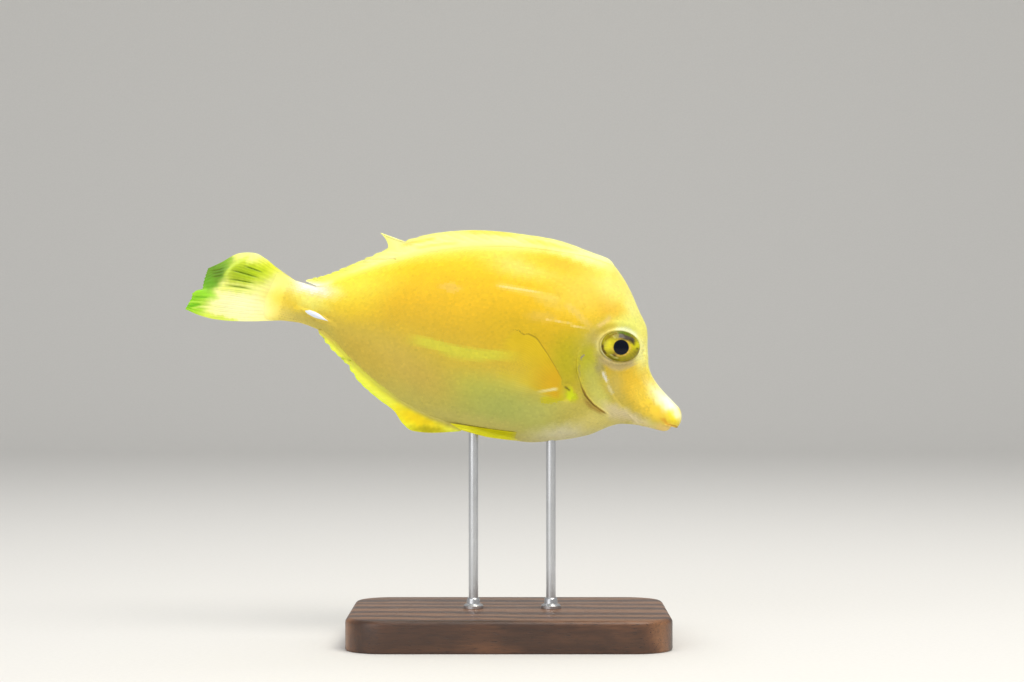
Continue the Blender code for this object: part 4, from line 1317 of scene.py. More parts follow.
@dataclass
class Skin:
    """One skin over head, jaw, trunk and tail stalk, cut from an unrolled sheet and wrapped on the flesh."""

    steps_along: int = 186
    steps_round: int = 184
    unrolled: float = 20.0

    def at(self, points: Array) -> tuple[Array, Array]:
        """The run and turn of points of the unrolled sheet."""
        return points[:, 0], points[:, 1] / self.unrolled

    def on_head(self, middles: Array) -> Array:
        """Faces of the head."""
        return middles[:, 0] > 89.0

    def on_detail(self, middles: Array) -> Array:
        """Faces beside the eye, mouth, gill cover, nostrils and blade.

        Args:
            middles: the faces' middles on the unrolled sheet.

        Returns:
            Which faces these are.
        """
        x, _, z = FLESH.place(*self.at(middles)).T
        eye = EYE.reach(x, z)
        gill, _ = path_reach(x, z, RELIEF.gill)
        mouth, _ = path_reach(x, z, RELIEF.mouth)
        chosen = (np.abs(eye - 1.02) < 0.2) | (np.abs(gill) < 0.8) | ((np.abs(mouth) < 1.1) & (x > 122.0))
        for ahead, up, size in NOSTRILS:
            chosen |= np.hypot(x - ahead, z - up) < 2.2 * size
        return chosen | (BLADE.reach(x, z) < 1.9)

    def on_rims(self, middles: Array) -> Array:
        """Faces right on the eye's edge, the gill cleft and the mouth slit.

        Args:
            middles: the faces' middles on the unrolled sheet.

        Returns:
            Which faces these are.
        """
        x, _, z = FLESH.place(*self.at(middles)).T
        gill, share = path_reach(x, z, RELIEF.gill)
        mouth, _ = path_reach(x, z, RELIEF.mouth)
        chosen = (np.abs(EYE.reach(x, z) - 0.99) < 0.09) | ((np.abs(gill) < 0.35) & (share > 0.25))
        return chosen | ((np.abs(mouth) < 0.45) & (x > 123.5))

    def wrap(self, run: Array, turn: Array) -> Array:
        """The finished skin's points in the fish's frame.

        Args:
            run: how far along the skin, in millimetres.
            turn: the way round it.

        Returns:
            The points.
        """
        points = FLESH.place(run, turn)
        out = FLESH.facing(run, turn)
        x, y, z = points.T
        grown = RELIEF.height(x, z) * smooth_step(0.0, 1.2, np.abs(y)) - COAT_DEPTH
        points = points + out * grown[:, None]
        points[:, 1] -= np.sign(y) * RELIEF.socket(x, z)
        points[:, 0] -= 1.7 * smooth_step(2.6, 3.0, -z) * smooth_step(124.5, 129.4, x)
        return points

    def build(self) -> bpy.types.Object:
        """Cuts, refines, wraps, closes and paints the skin.

        Returns:
            The skin.
        """
        skin, across, around = flat_grid("skin", self.steps_along, self.steps_round)
        first, last = FLESH.run_ends()
        run = first + (last - first) * across
        turn = -math.pi / 2.0 + 2.0 * math.pi * around
        move_points(skin, np.stack([run, turn * self.unrolled, np.zeros(len(run))], axis=-1))
        for wanted in (self.on_head, self.on_detail, self.on_rims):
            refine(skin, wanted)
        flat = points_of(skin)
        points = self.wrap(*self.at(flat))
        add_values(skin, "paint", body_paint(points[:, 0], points[:, 2]))
        move_points(skin, to_row(points))
        close_up(skin, 70.0)
        return skin


def body_paint(x: Array, z: Array) -> Array:
    """The flesh's colours at places seen from the side, as sRGB shares.

    Args:
        x: how far ahead each place is.
        z: how high each place is.

    Returns:
        One colour for each place.
    """
    body = sprayed(graded(BODY_GRADE, FLESH.height_share(x, z)), BODY_LAYERS, x, z)
    rear = x < 3.0
    if rear.any():
        base = graded(TAIL_GRADE, np.clip(-x[rear] / TAIL_LENGTH, 0.0, 1.0))
        tail = sprayed(base, TAIL_LAYERS, x[rear], z[rear])
        body[rear] += (tail - body[rear]) * smooth_step(*TAIL_MERGE, -x[rear])[:, None]
    return body


SHIELD_OUTLINE = (
    (-0.34, -0.3), (-0.34, 0.3), (0.08, 0.5), (0.42, 0.37), (0.6, 0.13), (0.6, -0.13), (0.42, -0.37),
    (0.08, -0.5),
)
SHIELD_LIFTS = (-1.2, -1.2, -0.1, 0.75, 1.0, 1.0, 0.75, -0.1)
SHIELD_TOP = (0.12, 0.0)
SNOUT_THINNING = (111.0, 121.5)


@dataclass
class ScaleField:
    """A patch of the scale coat on one side: rows of small overlapping shields with round rear edges."""

    name: str
    side: Side
    reach: Point
    pitch: float
    row: float
    length: float
    width: float
    lift: float
    seed: int

    def rows(self) -> tuple[Array, Array, Array]:
        """Lays roots in staggered rows along the flank.

        Returns:
            Each root's run, turn and distance round the flesh from its widest level.
        """
        stations = np.arange(self.reach[0], self.reach[1] + 2.0, 1.0)
        turns = np.linspace(-math.pi / 2.0, math.pi / 2.0, 361)
        ring = FLESH.place(stations[:, None], turns[None, :])
        steps = np.linalg.norm(np.diff(ring, axis=1), axis=-1)
        arcs = np.concatenate([np.zeros((len(stations), 1)), np.cumsum(steps, axis=1)], axis=1)
        arcs -= arcs[:, 180:181]
        runs, turned, around = [], [], []
        for k in range(int(arcs.min() / self.row), int(arcs.max() / self.row) + 1):
            at = np.array([np.interp(k * self.row, arc, turns, -9.0, -9.0) for arc in arcs])
            run = np.arange(self.reach[0] + (k % 2) * self.pitch / 2.0, self.reach[1], self.pitch)
            turn = np.interp(run, stations, at)
            whole = (turn > -1.5) & (turn < 1.5)
            runs.append(run[whole])
            turned.append(turn[whole])
            around.append(np.full(int(whole.sum()), k * self.row))
        return np.concatenate(runs), np.concatenate(turned), np.concatenate(around)

    def grows(self, points: Array) -> Array:
        """Where scales grow: not on the eyes, lips, gill cleft, fin bases or the blade's sheath.

        Args:
            points: the shields' roots on the skin.

        Returns:
            Which of them stay.
        """
        x, y, z = points.T
        gill, share = path_reach(x, z, RELIEF.gill)
        cheek, _ = path_reach(x, z, RELIEF.cheek)
        base = np.hypot((x - PECTORAL_BASE[0] + 0.6) / 2.6, (z - PECTORAL_BASE[1]) / 3.2)
        room = (EYE.reach(x, z) > 1.3) & ((np.abs(gill) > 0.55) | (share < 0.1)) & (np.abs(cheek) > 0.4)
        room &= (base > 1.0) & (BLADE.reach(x, z) > 1.7) & (np.abs(y) > 0.75) & (x > -1.5)
        for ahead, up, size in NOSTRILS:
            room &= np.hypot(x - ahead, z - up) > 2.5 * size
        return room

    def build(self, skin: Skin) -> bpy.types.Object:
        """Sets every shield on the skin and joins them in one piece.

        Args:
            skin: the skin under the coat.

        Returns:
            The coat's piece.
        """
        run, turn, around = self.rows()
        rng = np.random.default_rng(self.seed)
        run = run + rng.uniform(-0.08, 0.08, len(run)) * self.pitch
        points = skin.wrap(run, turn)
        thinned = smooth_step(*SNOUT_THINNING, points[:, 0])
        keep = self.grows(points) & (rng.uniform(0.0, 1.0, len(run)) > thinned)
        run, turn, around, points = run[keep], turn[keep], around[keep], points[keep]
        step = 0.12
        back = skin.wrap(run - step, turn) - skin.wrap(run + step, turn)
        up = skin.wrap(run, turn + 0.012) - skin.wrap(run, turn - 0.012)
        back /= np.linalg.norm(back, axis=1, keepdims=True)
        out = np.cross(up, back)
        out /= np.linalg.norm(out, axis=1, keepdims=True)
        wide = np.cross(back, out)
        tilt = rng.normal(0.0, 0.05, len(run))
        size = rng.uniform(0.93, 1.07, len(run)) * smooth_step(0.3, 2.0, np.abs(points[:, 1]))
        size = np.maximum(size, 0.6)
        lifts = np.array(SHIELD_LIFTS)
        flat = np.array([*SHIELD_OUTLINE, *SHIELD_OUTLINE, SHIELD_TOP])
        rise = np.concatenate([lifts, lifts - 1.6, [1.15]]) * self.lift
        along = flat[:, 0] * self.length
        sideways = flat[:, 1] * self.width
        along, sideways = (along[None] * np.cos(tilt)[:, None] - sideways[None] * np.sin(tilt)[:, None],
                           along[None] * np.sin(tilt)[:, None] + sideways[None] * np.cos(tilt)[:, None])
        body = points[:, None] + back[:, None] * (along * size[:, None])[..., None]
        body += wide[:, None] * (sideways * size[:, None])[..., None] + out[:, None] * rise[None, :, None]
        body[..., 1] *= self.side.value
        count = len(SHIELD_OUTLINE)
        top = [(i, (i + 1) % count, 2 * count) for i in range(count)]
        wall = [(i, i + count, (i + 1) % count + count, (i + 1) % count) for i in range(count)]
        under = [tuple(range(2 * count - 1, count - 1, -1))]
        one = [face[::-1] if self.side is Side.RIGHT else face for face in top + wall + under]
        faces = [tuple(v + i * len(flat) for v in face) for i in range(len(run)) for face in one]
        mesh = bpy.data.meshes.new(self.name)
        mesh.from_pydata(to_row(body.reshape(-1, 3)), [], faces)
        obj = bpy.data.objects.new(self.name, mesh)
        bpy.context.scene.collection.objects.link(obj)
        tone = body_paint(points[:, 0], points[:, 2]) * rng.normal(1.0, 0.012, (len(run), 1))
        # Each shield's lower points are painted 4 % darker: painted shade under the shield's edge.
        edge = np.repeat((1.0, 0.96, 1.0), (count, count, 1))
        add_values(obj, "paint", (tone[:, None] * edge[None, :, None]).reshape(-1, 3))
        self.unwrap(obj, run, around, flat)
        select_only(obj)
        bpy.ops.object.shade_smooth_by_angle(angle=math.radians(60.0))
        return obj

    def unwrap(self, obj: bpy.types.Object, run: Array, around: Array, flat: Array) -> None:
        """Gives each shield a small patch at its root's place on the unrolled skin.

        Args:
            obj: the coat's piece.
            run: each shield's place along the skin.
            around: each shield's place round the flesh.
            flat: a shield's points, laid flat.
        """
        first, last = FLESH.run_ends()
        across = 0.02 + 0.46 * (run - first) / (last - first) + (0.5 if self.side is Side.RIGHT else 0.0)
        upward = 0.5 + around / 84.0
        patch = 0.003 * flat / 1.2
        places = np.stack([across, upward], axis=-1)[:, None] + patch[None]
        corners = np.empty(len(obj.data.loops), np.int32)
        obj.data.loops.foreach_get("vertex_index", corners)
        layer = obj.data.uv_layers.new(name="OFBake")
        layer.data.foreach_set("uv", places.reshape(-1, 2)[corners].astype(np.float32).ravel())


# Fins


def ray_ridges(phase: Array, t: Array, forks: Point) -> Array:
    """How high the rays stand: 1 along each ray, which forks twice on its way out, and 0 between them.

    Args:
        phase: places across the fin, in rays.
        t: shares of the way out.
        forks: the shares at which the rays fork.

    Returns:
        Heights from 0 to 1.
    """
    one, two, four = [(0.5 - 0.5 * np.cos(2.0 * math.pi * n * phase)) ** (3.0 - 0.6 * k)
                      for k, n in enumerate((1, 2, 4))]
    first = smooth_step(forks[0] - 0.1, forks[0] + 0.1, t)
    second = smooth_step(forks[1] - 0.1, forks[1] + 0.1, t)
    return one * (1.0 - first) + first * ((1.0 - second) * two + second * four)


def finish_fin(fin: bpy.types.Object, points: Array, half: Array, paint: Array, ray: Array,
               along: Array) -> None:
    """Shapes, paints, thickens and closes a fin's sheet.

    Args:
        fin: the flat grid.
        points: its middle surface in the fish's frame.
        half: half its thickness at each point, in millimetres.
        paint: its colours as sRGB shares.
        ray: how high the rays stand at each point.
        along: the distance from the ray's root, in millimetres.
    """
    add_values(fin, "paint", paint)
    add_values(fin, "ray", ray)
    add_values(fin, "along", along)
    move_points(fin, to_row(points))
    thicken(fin, half)
    close_up(fin, 60.0, 1e-7)


@dataclass
class FoldedFin:
    """A fin along the fish's middle, folded back: rays fanned from its base to a saw-toothed edge."""

    name: str
    edge: Line
    base_line: Line
    base: Point
    lean: Line
    up: float
    rays: int
    grade: tuple[tuple[float, str], ...]
    layers: tuple[Layer, ...] = ()
    torn: tuple[float, Point] | None = None
    rows: int = 30
    steps: int = 8
    root: float = 1.6
    tooth: float = 0.6
    film: float = 0.13
    ridge: float = 0.05
    flare: float = 1.25
    shown: float = 0.35

    def build(self) -> bpy.types.Object:
        """Fans the rays, flares the base into the body and paints the fin.

        Returns:
            The fin.
        """
        fin, across, t = flat_grid(self.name, self.rays * self.steps, self.rows)
        base_line = smooth_line(self.base_line)
        foot = self.base[0] + (self.base[1] - self.base[0]) * across
        tip = foot - smooth_line(self.lean)(foot)
        phase = across * self.rays
        tooth = self.tooth * (np.minimum((phase % 1.0) / 0.3, (1.0 - phase % 1.0) / 0.7) - 0.6)
        tooth *= (0.75 + 0.5 * np.sin(1.7 * np.floor(phase))) * (1.0 - smooth_step(0.35, 0.6, across))
        tip_z = smooth_line(self.edge)(tip) + self.up * tooth
        if self.torn:
            at, (far, high) = self.torn
            pull = (1.0 - smooth_step(0.0, 2.1, np.abs(tip - at))) * smooth_step(0.45, 1.0, t)
            tip, tip_z = tip + (far - tip) * pull, tip_z + (high - tip_z) * pull
        foot_z = base_line(foot) - self.up * self.root
        x = foot + (tip - foot) * t
        z = foot_z + (tip_z - foot_z) * t
        above = self.up * (z - base_line(x))
        ray = ray_ridges(phase, t, (0.62, 0.86)) * smooth_step(0.1, 1.4, above)
        free = smooth_step(0.3, 3.0, above)
        y = free * (0.05 * np.cos(2.0 * math.pi * phase) + 0.3 * np.sin(0.21 * x) * t * t)
        flare = self.flare * np.exp(-np.maximum(above, 0.0) / 1.1)
        half = self.film + flare + self.ridge * ray * (1.0 - 0.5 * t)
        own = sprayed(graded(self.grade, t), self.layers, x, z)
        near = body_paint(x, base_line(x) - self.up * 0.2)
        blend = smooth_step(-0.2, 1.8, above)[:, None]
        along = t * np.hypot(tip - foot, tip_z - foot_z)
        paint = near + (own - near) * blend
        finish_fin(fin, np.stack([x, y, z], axis=-1), half, paint, self.shown * ray, along)
        return fin


TAIL_SHARES = (0.0, 0.15, 0.3, 0.46, 0.5, 0.55, 0.64, 0.74, 0.84, 0.92, 1.0)
TAIL_STATIONS = (0.0, 0.18, 0.37, 0.53, 0.68, 0.8, 0.9, 1.0)
TAIL_RAYS = (
    ((2.2, 0, -6.3), (-3.2, 0, -8.1), (-9.1, 0, -10.1), (-13.9, 0, -11.5), (-18.3, 0, -12.5),
     (-22.2, 0, -13.0),
     (-25.8, 0, -13.0), (-30.1, 0, -12.5)),
    ((1.8, 0, -4.9), (-3.8, 0, -6.2), (-9.8, 0, -7.8), (-14.7, 0, -8.8), (-19.2, 0.1, -9.7),
     (-23.1, 0.1, -10.3),
     (-26.4, 0.1, -10.8), (-29.8, 0.1, -11.0)),
    ((1.3, 0, -3.2), (-4.2, 0, -4.1), (-10.4, -0.1, -5.2), (-15.3, -0.2, -6.0), (-19.8, -0.2, -6.9),
     (-23.5, -0.1, -7.6), (-26.5, 0, -8.2), (-29.3, 0.2, -8.8)),
    ((0.9, 0, -1.3), (-4.5, 0, -1.7), (-10.9, -0.2, -2.2), (-15.9, -0.3, -2.8), (-20.4, -0.3, -3.6),
     (-23.3, 0, -4.3), (-26.0, 0.4, -5.1), (-28.5, 1.0, -6.0)),
    ((0.8, 0, -0.7), (-4.5, -0.1, -0.9), (-10.7, -0.3, -1.2), (-15.7, -0.4, -2.0), (-20.6, -0.4, -3.0),
     (-23.1, 0.1, -3.6), (-25.1, 1.0, -4.3), (-27.1, 2.1, -5.0)),
    ((0.8, 0, 0.0), (-4.4, -0.1, 0.1), (-10.4, -0.4, 0.0), (-15.6, -0.6, -0.8), (-20.5, -0.6, -1.8),
     (-22.9, 0.2, -2.6), (-24.9, 1.3, -3.5), (-27.1, 2.6, -4.5)),
    ((0.7, 0, 1.3), (-4.4, -0.2, 1.6), (-10.3, -0.5, 1.7), (-15.3, -0.8, 1.3), (-20.5, -0.9, 0.5),
     (-22.7, 0.4, -0.5), (-24.9, 1.9, -1.5), (-27.4, 3.6, -3.1)),
    ((0.7, 0, 2.8), (-4.4, -0.2, 3.2), (-10.2, -0.5, 3.7), (-15.2, -0.9, 3.7), (-19.9, -1.0, 3.5),
     (-22.2, 0.7, 2.2), (-24.6, 2.6, 0.7), (-27.6, 4.6, -1.5)),
    ((0.7, 0, 4.2), (-4.3, -0.2, 5.0), (-9.4, -0.4, 5.8), (-13.7, -0.7, 6.1), (-17.7, -0.6, 6.0),
     (-20.8, 1.2, 4.7), (-24.0, 3.4, 2.6), (-27.7, 5.4, 0.1)),
    ((1.4, 0, 4.9), (-3.3, -0.1, 6.2), (-8.0, -0.2, 7.3), (-12.3, -0.3, 8.4), (-16.4, 0.1, 8.2),
     (-20.2, 2.2, 6.8), (-23.9, 4.2, 4.0), (-27.7, 6.0, 0.9)),
    ((2.2, 0, 5.7), (-2.2, 0, 7.1), (-6.7, 0, 8.6), (-10.9, 0.2, 10.2), (-15.0, 1.2, 10.6), (-20.0, 3.2, 8.7),
     (-24.0, 4.8, 4.8), (-27.7, 6.5, 1.7)),
)


def net_weights(places: Sequence[float], at: Array) -> Array:
    """Weighs control points for a smooth curve through them all.

    Args:
        places: the control points' places, in rising order.
        at: the places to find.

    Returns:
        One row of weights for each place to find.
    """
    places = np.array(places, float)
    own = np.eye(len(places))
    slope = np.gradient(own, places, axis=0)
    i = np.clip(np.searchsorted(places, at) - 1, 0, len(places) - 2)
    step = (places[i + 1] - places[i])[:, None]
    t = (at - places[i])[:, None] / step
    rise = own[i] * (1 + 2 * t) * (1 - t) ** 2 + own[i + 1] * t * t * (3 - 2 * t)
    return rise + step * (slope[i] * t * (1 - t) ** 2 - slope[i + 1] * t * t * (1 - t))


@dataclass
class TailFin:
    """The forked tail fin on a net of shaped rays, its upper lobe folded away past a crease."""

    name: str = "tail_fin_fan"
    rays: int = 15
    steps: int = 14
    rows: int = 120
    swell: float = 0.5
    ragged: float = 0.0095455
    grooves: tuple[Line, ...] = (
        ((-16.9, 5.9), (-13.1, 5.8), (-9.2, 5.6)), ((-20.6, 3.4), (-15.6, 3.7), (-9.8, 3.7)),
        ((-21.0, 0.4), (-15.8, 1.2), (-9.8, 1.8)), ((-20.9, -1.8), (-16.2, -0.9), (-11.0, -0.2)),
        ((-27.2, 0.9), (-24.6, 2.0), (-21.6, 3.7)), ((-26.3, 0.3), (-23.9, 1.3), (-21.3, 2.7)),
        ((-25.8, -0.7), (-23.4, 0.4), (-21.2, 1.6)),
    )

    def build(self) -> bpy.types.Object:
        """Lays the rays on the net, grooves the folds between them and paints the tail.

        Returns:
            The fin.
        """
        fin, share, t = flat_grid(self.name, self.rays * self.steps, self.rows)
        phase = share * self.rays
        between = 0.5 - 0.5 * np.cos(2.0 * math.pi * phase)
        back = 1.0 - self.ragged * between * np.sin(math.pi * share) ** 0.5
        rays = net_weights(TAIL_SHARES, share)
        stations = net_weights(TAIL_STATIONS, t * back)
        points = np.einsum("pk,pl,klc->pc", rays, stations, np.array(TAIL_RAYS, float))
        x, z = points[:, 0], points[:, 2]
        ray = ray_ridges(phase, t, (0.4, 0.72)) * smooth_step(0.16, 0.42, t)
        edge = smooth_step(0.97, 0.995, np.abs(2.0 * share - 1.0)) * smooth_step(0.05, 0.2, t)
        dip = np.zeros(len(x))
        for line in self.grooves:
            away, run = path_reach(x, z, path_at(line, np.linspace(0.0, 1.0, 13)))
            dip += hump(away, 0.0, 0.3) * smooth_step(0.0, 0.4, run) * smooth_step(0.0, 0.4, 1.0 - run)
        dip = np.minimum(dip, 1.0)
        points[:, 1] += 0.35 * dip + 0.05 * t * np.cos(2.0 * math.pi * phase)
        middle = np.sqrt(np.maximum(share * (1.0 - share), 0.0)) * 2.0
        swell = self.swell * (1.0 - smooth_step(0.0, 0.34, t)) * middle
        half = 0.13 + swell + np.maximum(0.07 * ray * (1.0 - 0.4 * t), 0.14 * edge * (1.0 - 0.6 * t))
        paint = sprayed(graded(TAIL_GRADE, t), TAIL_LAYERS, x, z)
        paint = paint * (1.0 + 0.04 * (ray[:, None] - 0.4))
        # Painted shade: the folds' grooves are darkened to olive.
        paint = paint + (srgb("#55720a") - paint) * dip[:, None] * 0.75
        near = body_paint(x, z * 0.9)
        blend = smooth_step(*TAIL_MERGE, -x)[:, None]
        paint = near + (paint - near) * blend
        finish_fin(fin, points, half, paint, 0.6 * np.maximum(ray, edge), t * TAIL_LENGTH)
        return fin


@dataclass
class SideFin:
    """A paired fin fanned between its first and last rays, lying close along the flank."""

    name: str
    side: Side
    first: Line
    last: Line
    rays: int
    bulge: float
    lift: float
    grade: tuple[tuple[float, str], ...]
    layers: tuple[Layer, ...]
    clear: float = 0.0
    see_through: float = 0.5
    # How strongly the dark line on the leading ray is painted: painted shadow along the leading edge.
    line: float = 0.45
    steps: int = 9
    rows: int = 48
    film: float = 0.1
    ridge: float = 0.03
    lead: float = 0.08
    off: float = 0.3

    def build(self) -> bpy.types.Object:
        """Fans the rays off the flank and paints the fin.

        Returns:
            The fin.
        """
        fin, across, t = flat_grid(self.name, self.rays * self.steps, self.rows)
        one = path_at(self.first, t)
        two = path_at(self.last, t)
        grid = one * (1.0 - across[:, None]) + two * across[:, None]
        phase = across * self.rays
        scallop = 0.22 * np.cos(2.0 * math.pi * phase) * smooth_step(0.8, 1.0, t) * np.sin(math.pi * across)
        x = grid[:, 0] - self.bulge * t ** 2 * np.sin(math.pi * across) - scallop
        z = grid[:, 1]
        off = -0.5 + (self.off + 0.5) * smooth_step(0.0, 0.16, t)
        y = np.maximum(FLESH.half_at(x, z), self.clear) + off + self.lift * t ** 2
        y = y + 0.015 * t * np.cos(2.0 * math.pi * phase) + 0.06 * t * np.sin(9.0 * across)
        ray = ray_ridges(phase, t, (0.5, 0.8)) * smooth_step(0.05, 0.2, t)
        lead = 1.0 - smooth_step(0.012, 0.03, across)
        ray = np.maximum(ray, lead)
        rim = np.minimum(smooth_step(0.0, 0.03, across), smooth_step(0.0, 0.12, 1.0 - across))
        rim = np.minimum(rim, smooth_step(0.0, 0.06, 1.0 - t))
        half = self.film * (0.3 + 0.7 * rim) + self.ridge * ray * (1.0 - 0.6 * t)
        half += self.lead * lead * (1.0 - 0.7 * t)
        own = sprayed(graded(self.grade, t), self.layers, x, z)
        behind = body_paint(x, z)
        clear = smooth_step(0.15, 0.8, t) * (1.0 - 0.25 * ray) + smooth_step(0.75, 1.0, across)
        paint = own + (behind - own) * np.clip(self.see_through * clear, 0.0, 1.0)[:, None]
        paint = behind + (paint - behind) * smooth_step(0.02, 0.2, t)[:, None]
        # Painted shadow: a dark line along the leading ray.
        line = lead * smooth_step(0.02, 0.15, t) * self.line
        paint = paint + (srgb("#6f5a14") - paint) * line[:, None]
        points = np.stack([x, self.side.value * y, z], axis=-1)
        finish_fin(fin, points, half, paint, 0.6 * ray, t * 20.0)
        return fin


# Stand


@dataclass(frozen=True)
class Stand:
    """A bevelled walnut base, and two steel rods in turned ferrules."""

    size: tuple[float, float, float] = (100.0, 70.0, 10.0)
    corner: float = 12.0
    arris: float = 1.6
    rod: float = 1.5
    rods: tuple[tuple[str, float, float], ...] = (("front", 13.2, 69.5), ("rear", -11.2, 71.5))
    ferrule: float = 3.1
    ferrule_tall: float = 3.4
    foot: float = 3.0

    def base(self) -> bpy.types.Object:
        """The walnut base, its corners rounded and its arrises eased.

        Returns:
            The base.
        """
        long, deep, tall = (side * MM for side in self.size)
        bpy.ops.object.select_all(action="DESELECT")
        bpy.ops.mesh.primitive_cube_add(size=1.0, location=(0.0, 0.0, tall / 2.0))
        block = named("stand_base_walnut")
        block.scale = (long, deep, tall)
        bpy.ops.object.transform_apply(location=True, rotation=False, scale=True)
        self.round_edges(block, lambda a, b: abs(a[2] - b[2]) > tall / 2.0, self.corner, 14)
        self.round_edges(block, lambda a, b: min(a[2], b[2]) > tall * 0.99, self.arris, 6)
        self.round_edges(block, lambda a, b: max(a[2], b[2]) < tall * 0.01, 0.6, 3)
        close_up(block, 40.0)
        return block

    def round_edges(self, block: bpy.types.Object, chosen: Callable[[Array, Array], bool], radius: float,
                    segments: int) -> None:
        """Rounds the chosen edges of the block.

        Args:
            block: the base.
            chosen: says by its two ends whether an edge is rounded.
            radius: the round's radius.
            segments: how many steps it has.
        """
        select_only(block)
        bpy.context.tool_settings.mesh_select_mode = (False, True, False)
        mesh = block.data
        for polygon in mesh.polygons:
            polygon.select = False
        for vertex in mesh.vertices:
            vertex.select = False
        points = points_of(block)
        for edge in mesh.edges:
            edge.select = bool(chosen(points[edge.vertices[0]], points[edge.vertices[1]]))
        bpy.ops.object.mode_set(mode="EDIT")
        bpy.ops.mesh.bevel(offset=radius * MM, segments=segments, profile=0.5, clamp_overlap=False)
        bpy.ops.object.mode_set(mode="OBJECT")

    def rod_with_ferrule(self, name: str, ahead: float, top: float) -> bpy.types.Object:
        """One upright rod with a rounded ferrule where it enters the base.

        Args:
            name: the piece's name.
            ahead: the rod's place along the base.
            top: the height of its top.

        Returns:
            The rod.
        """
        foot = self.size[2] - self.foot
        tall = self.size[2]
        wide = self.ferrule
        profile = [(0.0, foot), (self.rod, foot), (self.rod, tall - 0.2), (wide - 0.3, tall - 0.2),
                   (wide, tall + 0.1),
                   (wide, tall + 0.9), (wide - 0.35, tall + 1.3), (2.15, tall + 1.6),
                   (2.0, tall + self.ferrule_tall - 0.35), (1.75, tall + self.ferrule_tall),
                   (self.rod, tall + self.ferrule_tall), (self.rod, top - 0.4), (self.rod - 0.4, top),
                   (0.0, top)]
        turned, around, share = flat_grid(name, 64, len(profile) * 4 - 4)
        places = share * (len(profile) - 1)
        radius = np.interp(places, np.arange(len(profile)), [r for r, _ in profile])
        height = np.interp(places, np.arange(len(profile)), [z for _, z in profile])
        angle = 2.0 * math.pi * around
        points = np.stack([ahead + radius * np.cos(angle), radius * np.sin(angle), height], axis=-1)
        move_points(turned, points * MM)
        close_up(turned, 35.0, 1e-6)
        return turned


# Studio


@dataclass(frozen=True)
class Studio:
    """A pale paper sweep, soft lamps and the camera at the photograph's angle."""

    pixel: float = 0.315
    middle: Point = (0.945, 94.2)
    lens: float = 85.0
    sensor: float = 36.0
    width: int = 1024

    def set_camera(self) -> None:
        """Places a level camera that sees the fish's right side at the photograph's size."""
        camera = bpy.data.cameras.new("camera")
        camera.lens = self.lens
        camera.sensor_width = self.sensor
        camera.clip_start = 0.01
        obj = bpy.data.objects.new("camera", camera)
        away = self.pixel * self.width * self.lens / self.sensor
        obj.location = (self.middle[0] * MM, -away * MM, self.middle[1] * MM)
        obj.rotation_euler = (math.pi / 2.0, 0.0, 0.0)
        bpy.context.scene.collection.objects.link(obj)
        bpy.context.scene.camera = obj

    def add_lamp(self, name: str, at: Sequence[float], size: float, power: float,
                 colour: str = "#ffffff") -> None:
        """Adds a soft square lamp aimed at the fish.

        Args:
            name: the lamp's name.
            at: its place, in metres.
            size: its width, in metres.
            power: its power, in watts.
            colour: its colour.
        """
        lamp = bpy.data.lights.new(name, "AREA")
        lamp.size = size
        lamp.energy = power
        lamp.color = rgba(colour)[:3]
        obj = bpy.data.objects.new(name, lamp)
        bpy.context.scene.collection.objects.link(obj)
        obj.location = at
        aim = np.array((0.0, 0.0, 0.09)) - np.array(at)
        obj.rotation_euler = (math.atan2(math.hypot(aim[0], aim[1]), -aim[2]), 0.0,
                              math.atan2(aim[1], aim[0]) - math.pi / 2.0)
        obj.visible_camera = False

    def lay_sweep(self) -> None:
        """Rolls the paper out under the stand and up behind it."""
        sweep, across, along = flat_grid("floor", 2, 96)
        reach = along * 5.2 - 2.2
        bend = 0.5
        turn = np.clip((reach - 1.3) / bend, 0.0, math.pi / 2.0)
        rest = np.maximum(reach - 1.3 - bend * math.pi / 2.0, 0.0)
        y = np.minimum(reach, 1.3) + bend * np.sin(turn)
        z = bend * (1.0 - np.cos(turn)) + rest
        move_points(sweep, np.stack([(across - 0.5) * 7.0, y, z], axis=-1))
        bpy.ops.object.shade_smooth()
        sweep.data.materials.append(StudioPaper().make())

    def build(self) -> None:
        """Sets up the whole studio."""
        scene = bpy.context.scene
        scene.view_settings.view_transform = "Standard"
        scene.world = bpy.data.worlds.new("studio")
        scene.world.use_nodes = True
        sky = scene.world.node_tree.nodes["Background"]
        sky.inputs["Color"].default_value = (1.0, 1.0, 1.0, 1.0)
        sky.inputs["Strength"].default_value = 0.45
        self.lay_sweep()
        self.add_lamp("key", (0.35, -0.5, 0.95), 0.6, 7.8, "#fffaf0")
        self.add_lamp("fill", (-0.7, -0.9, 0.4), 1.0, 4.6)
        self.add_lamp("top", (0.0, 0.25, 1.0), 0.6, 2.8)
        self.set_camera()


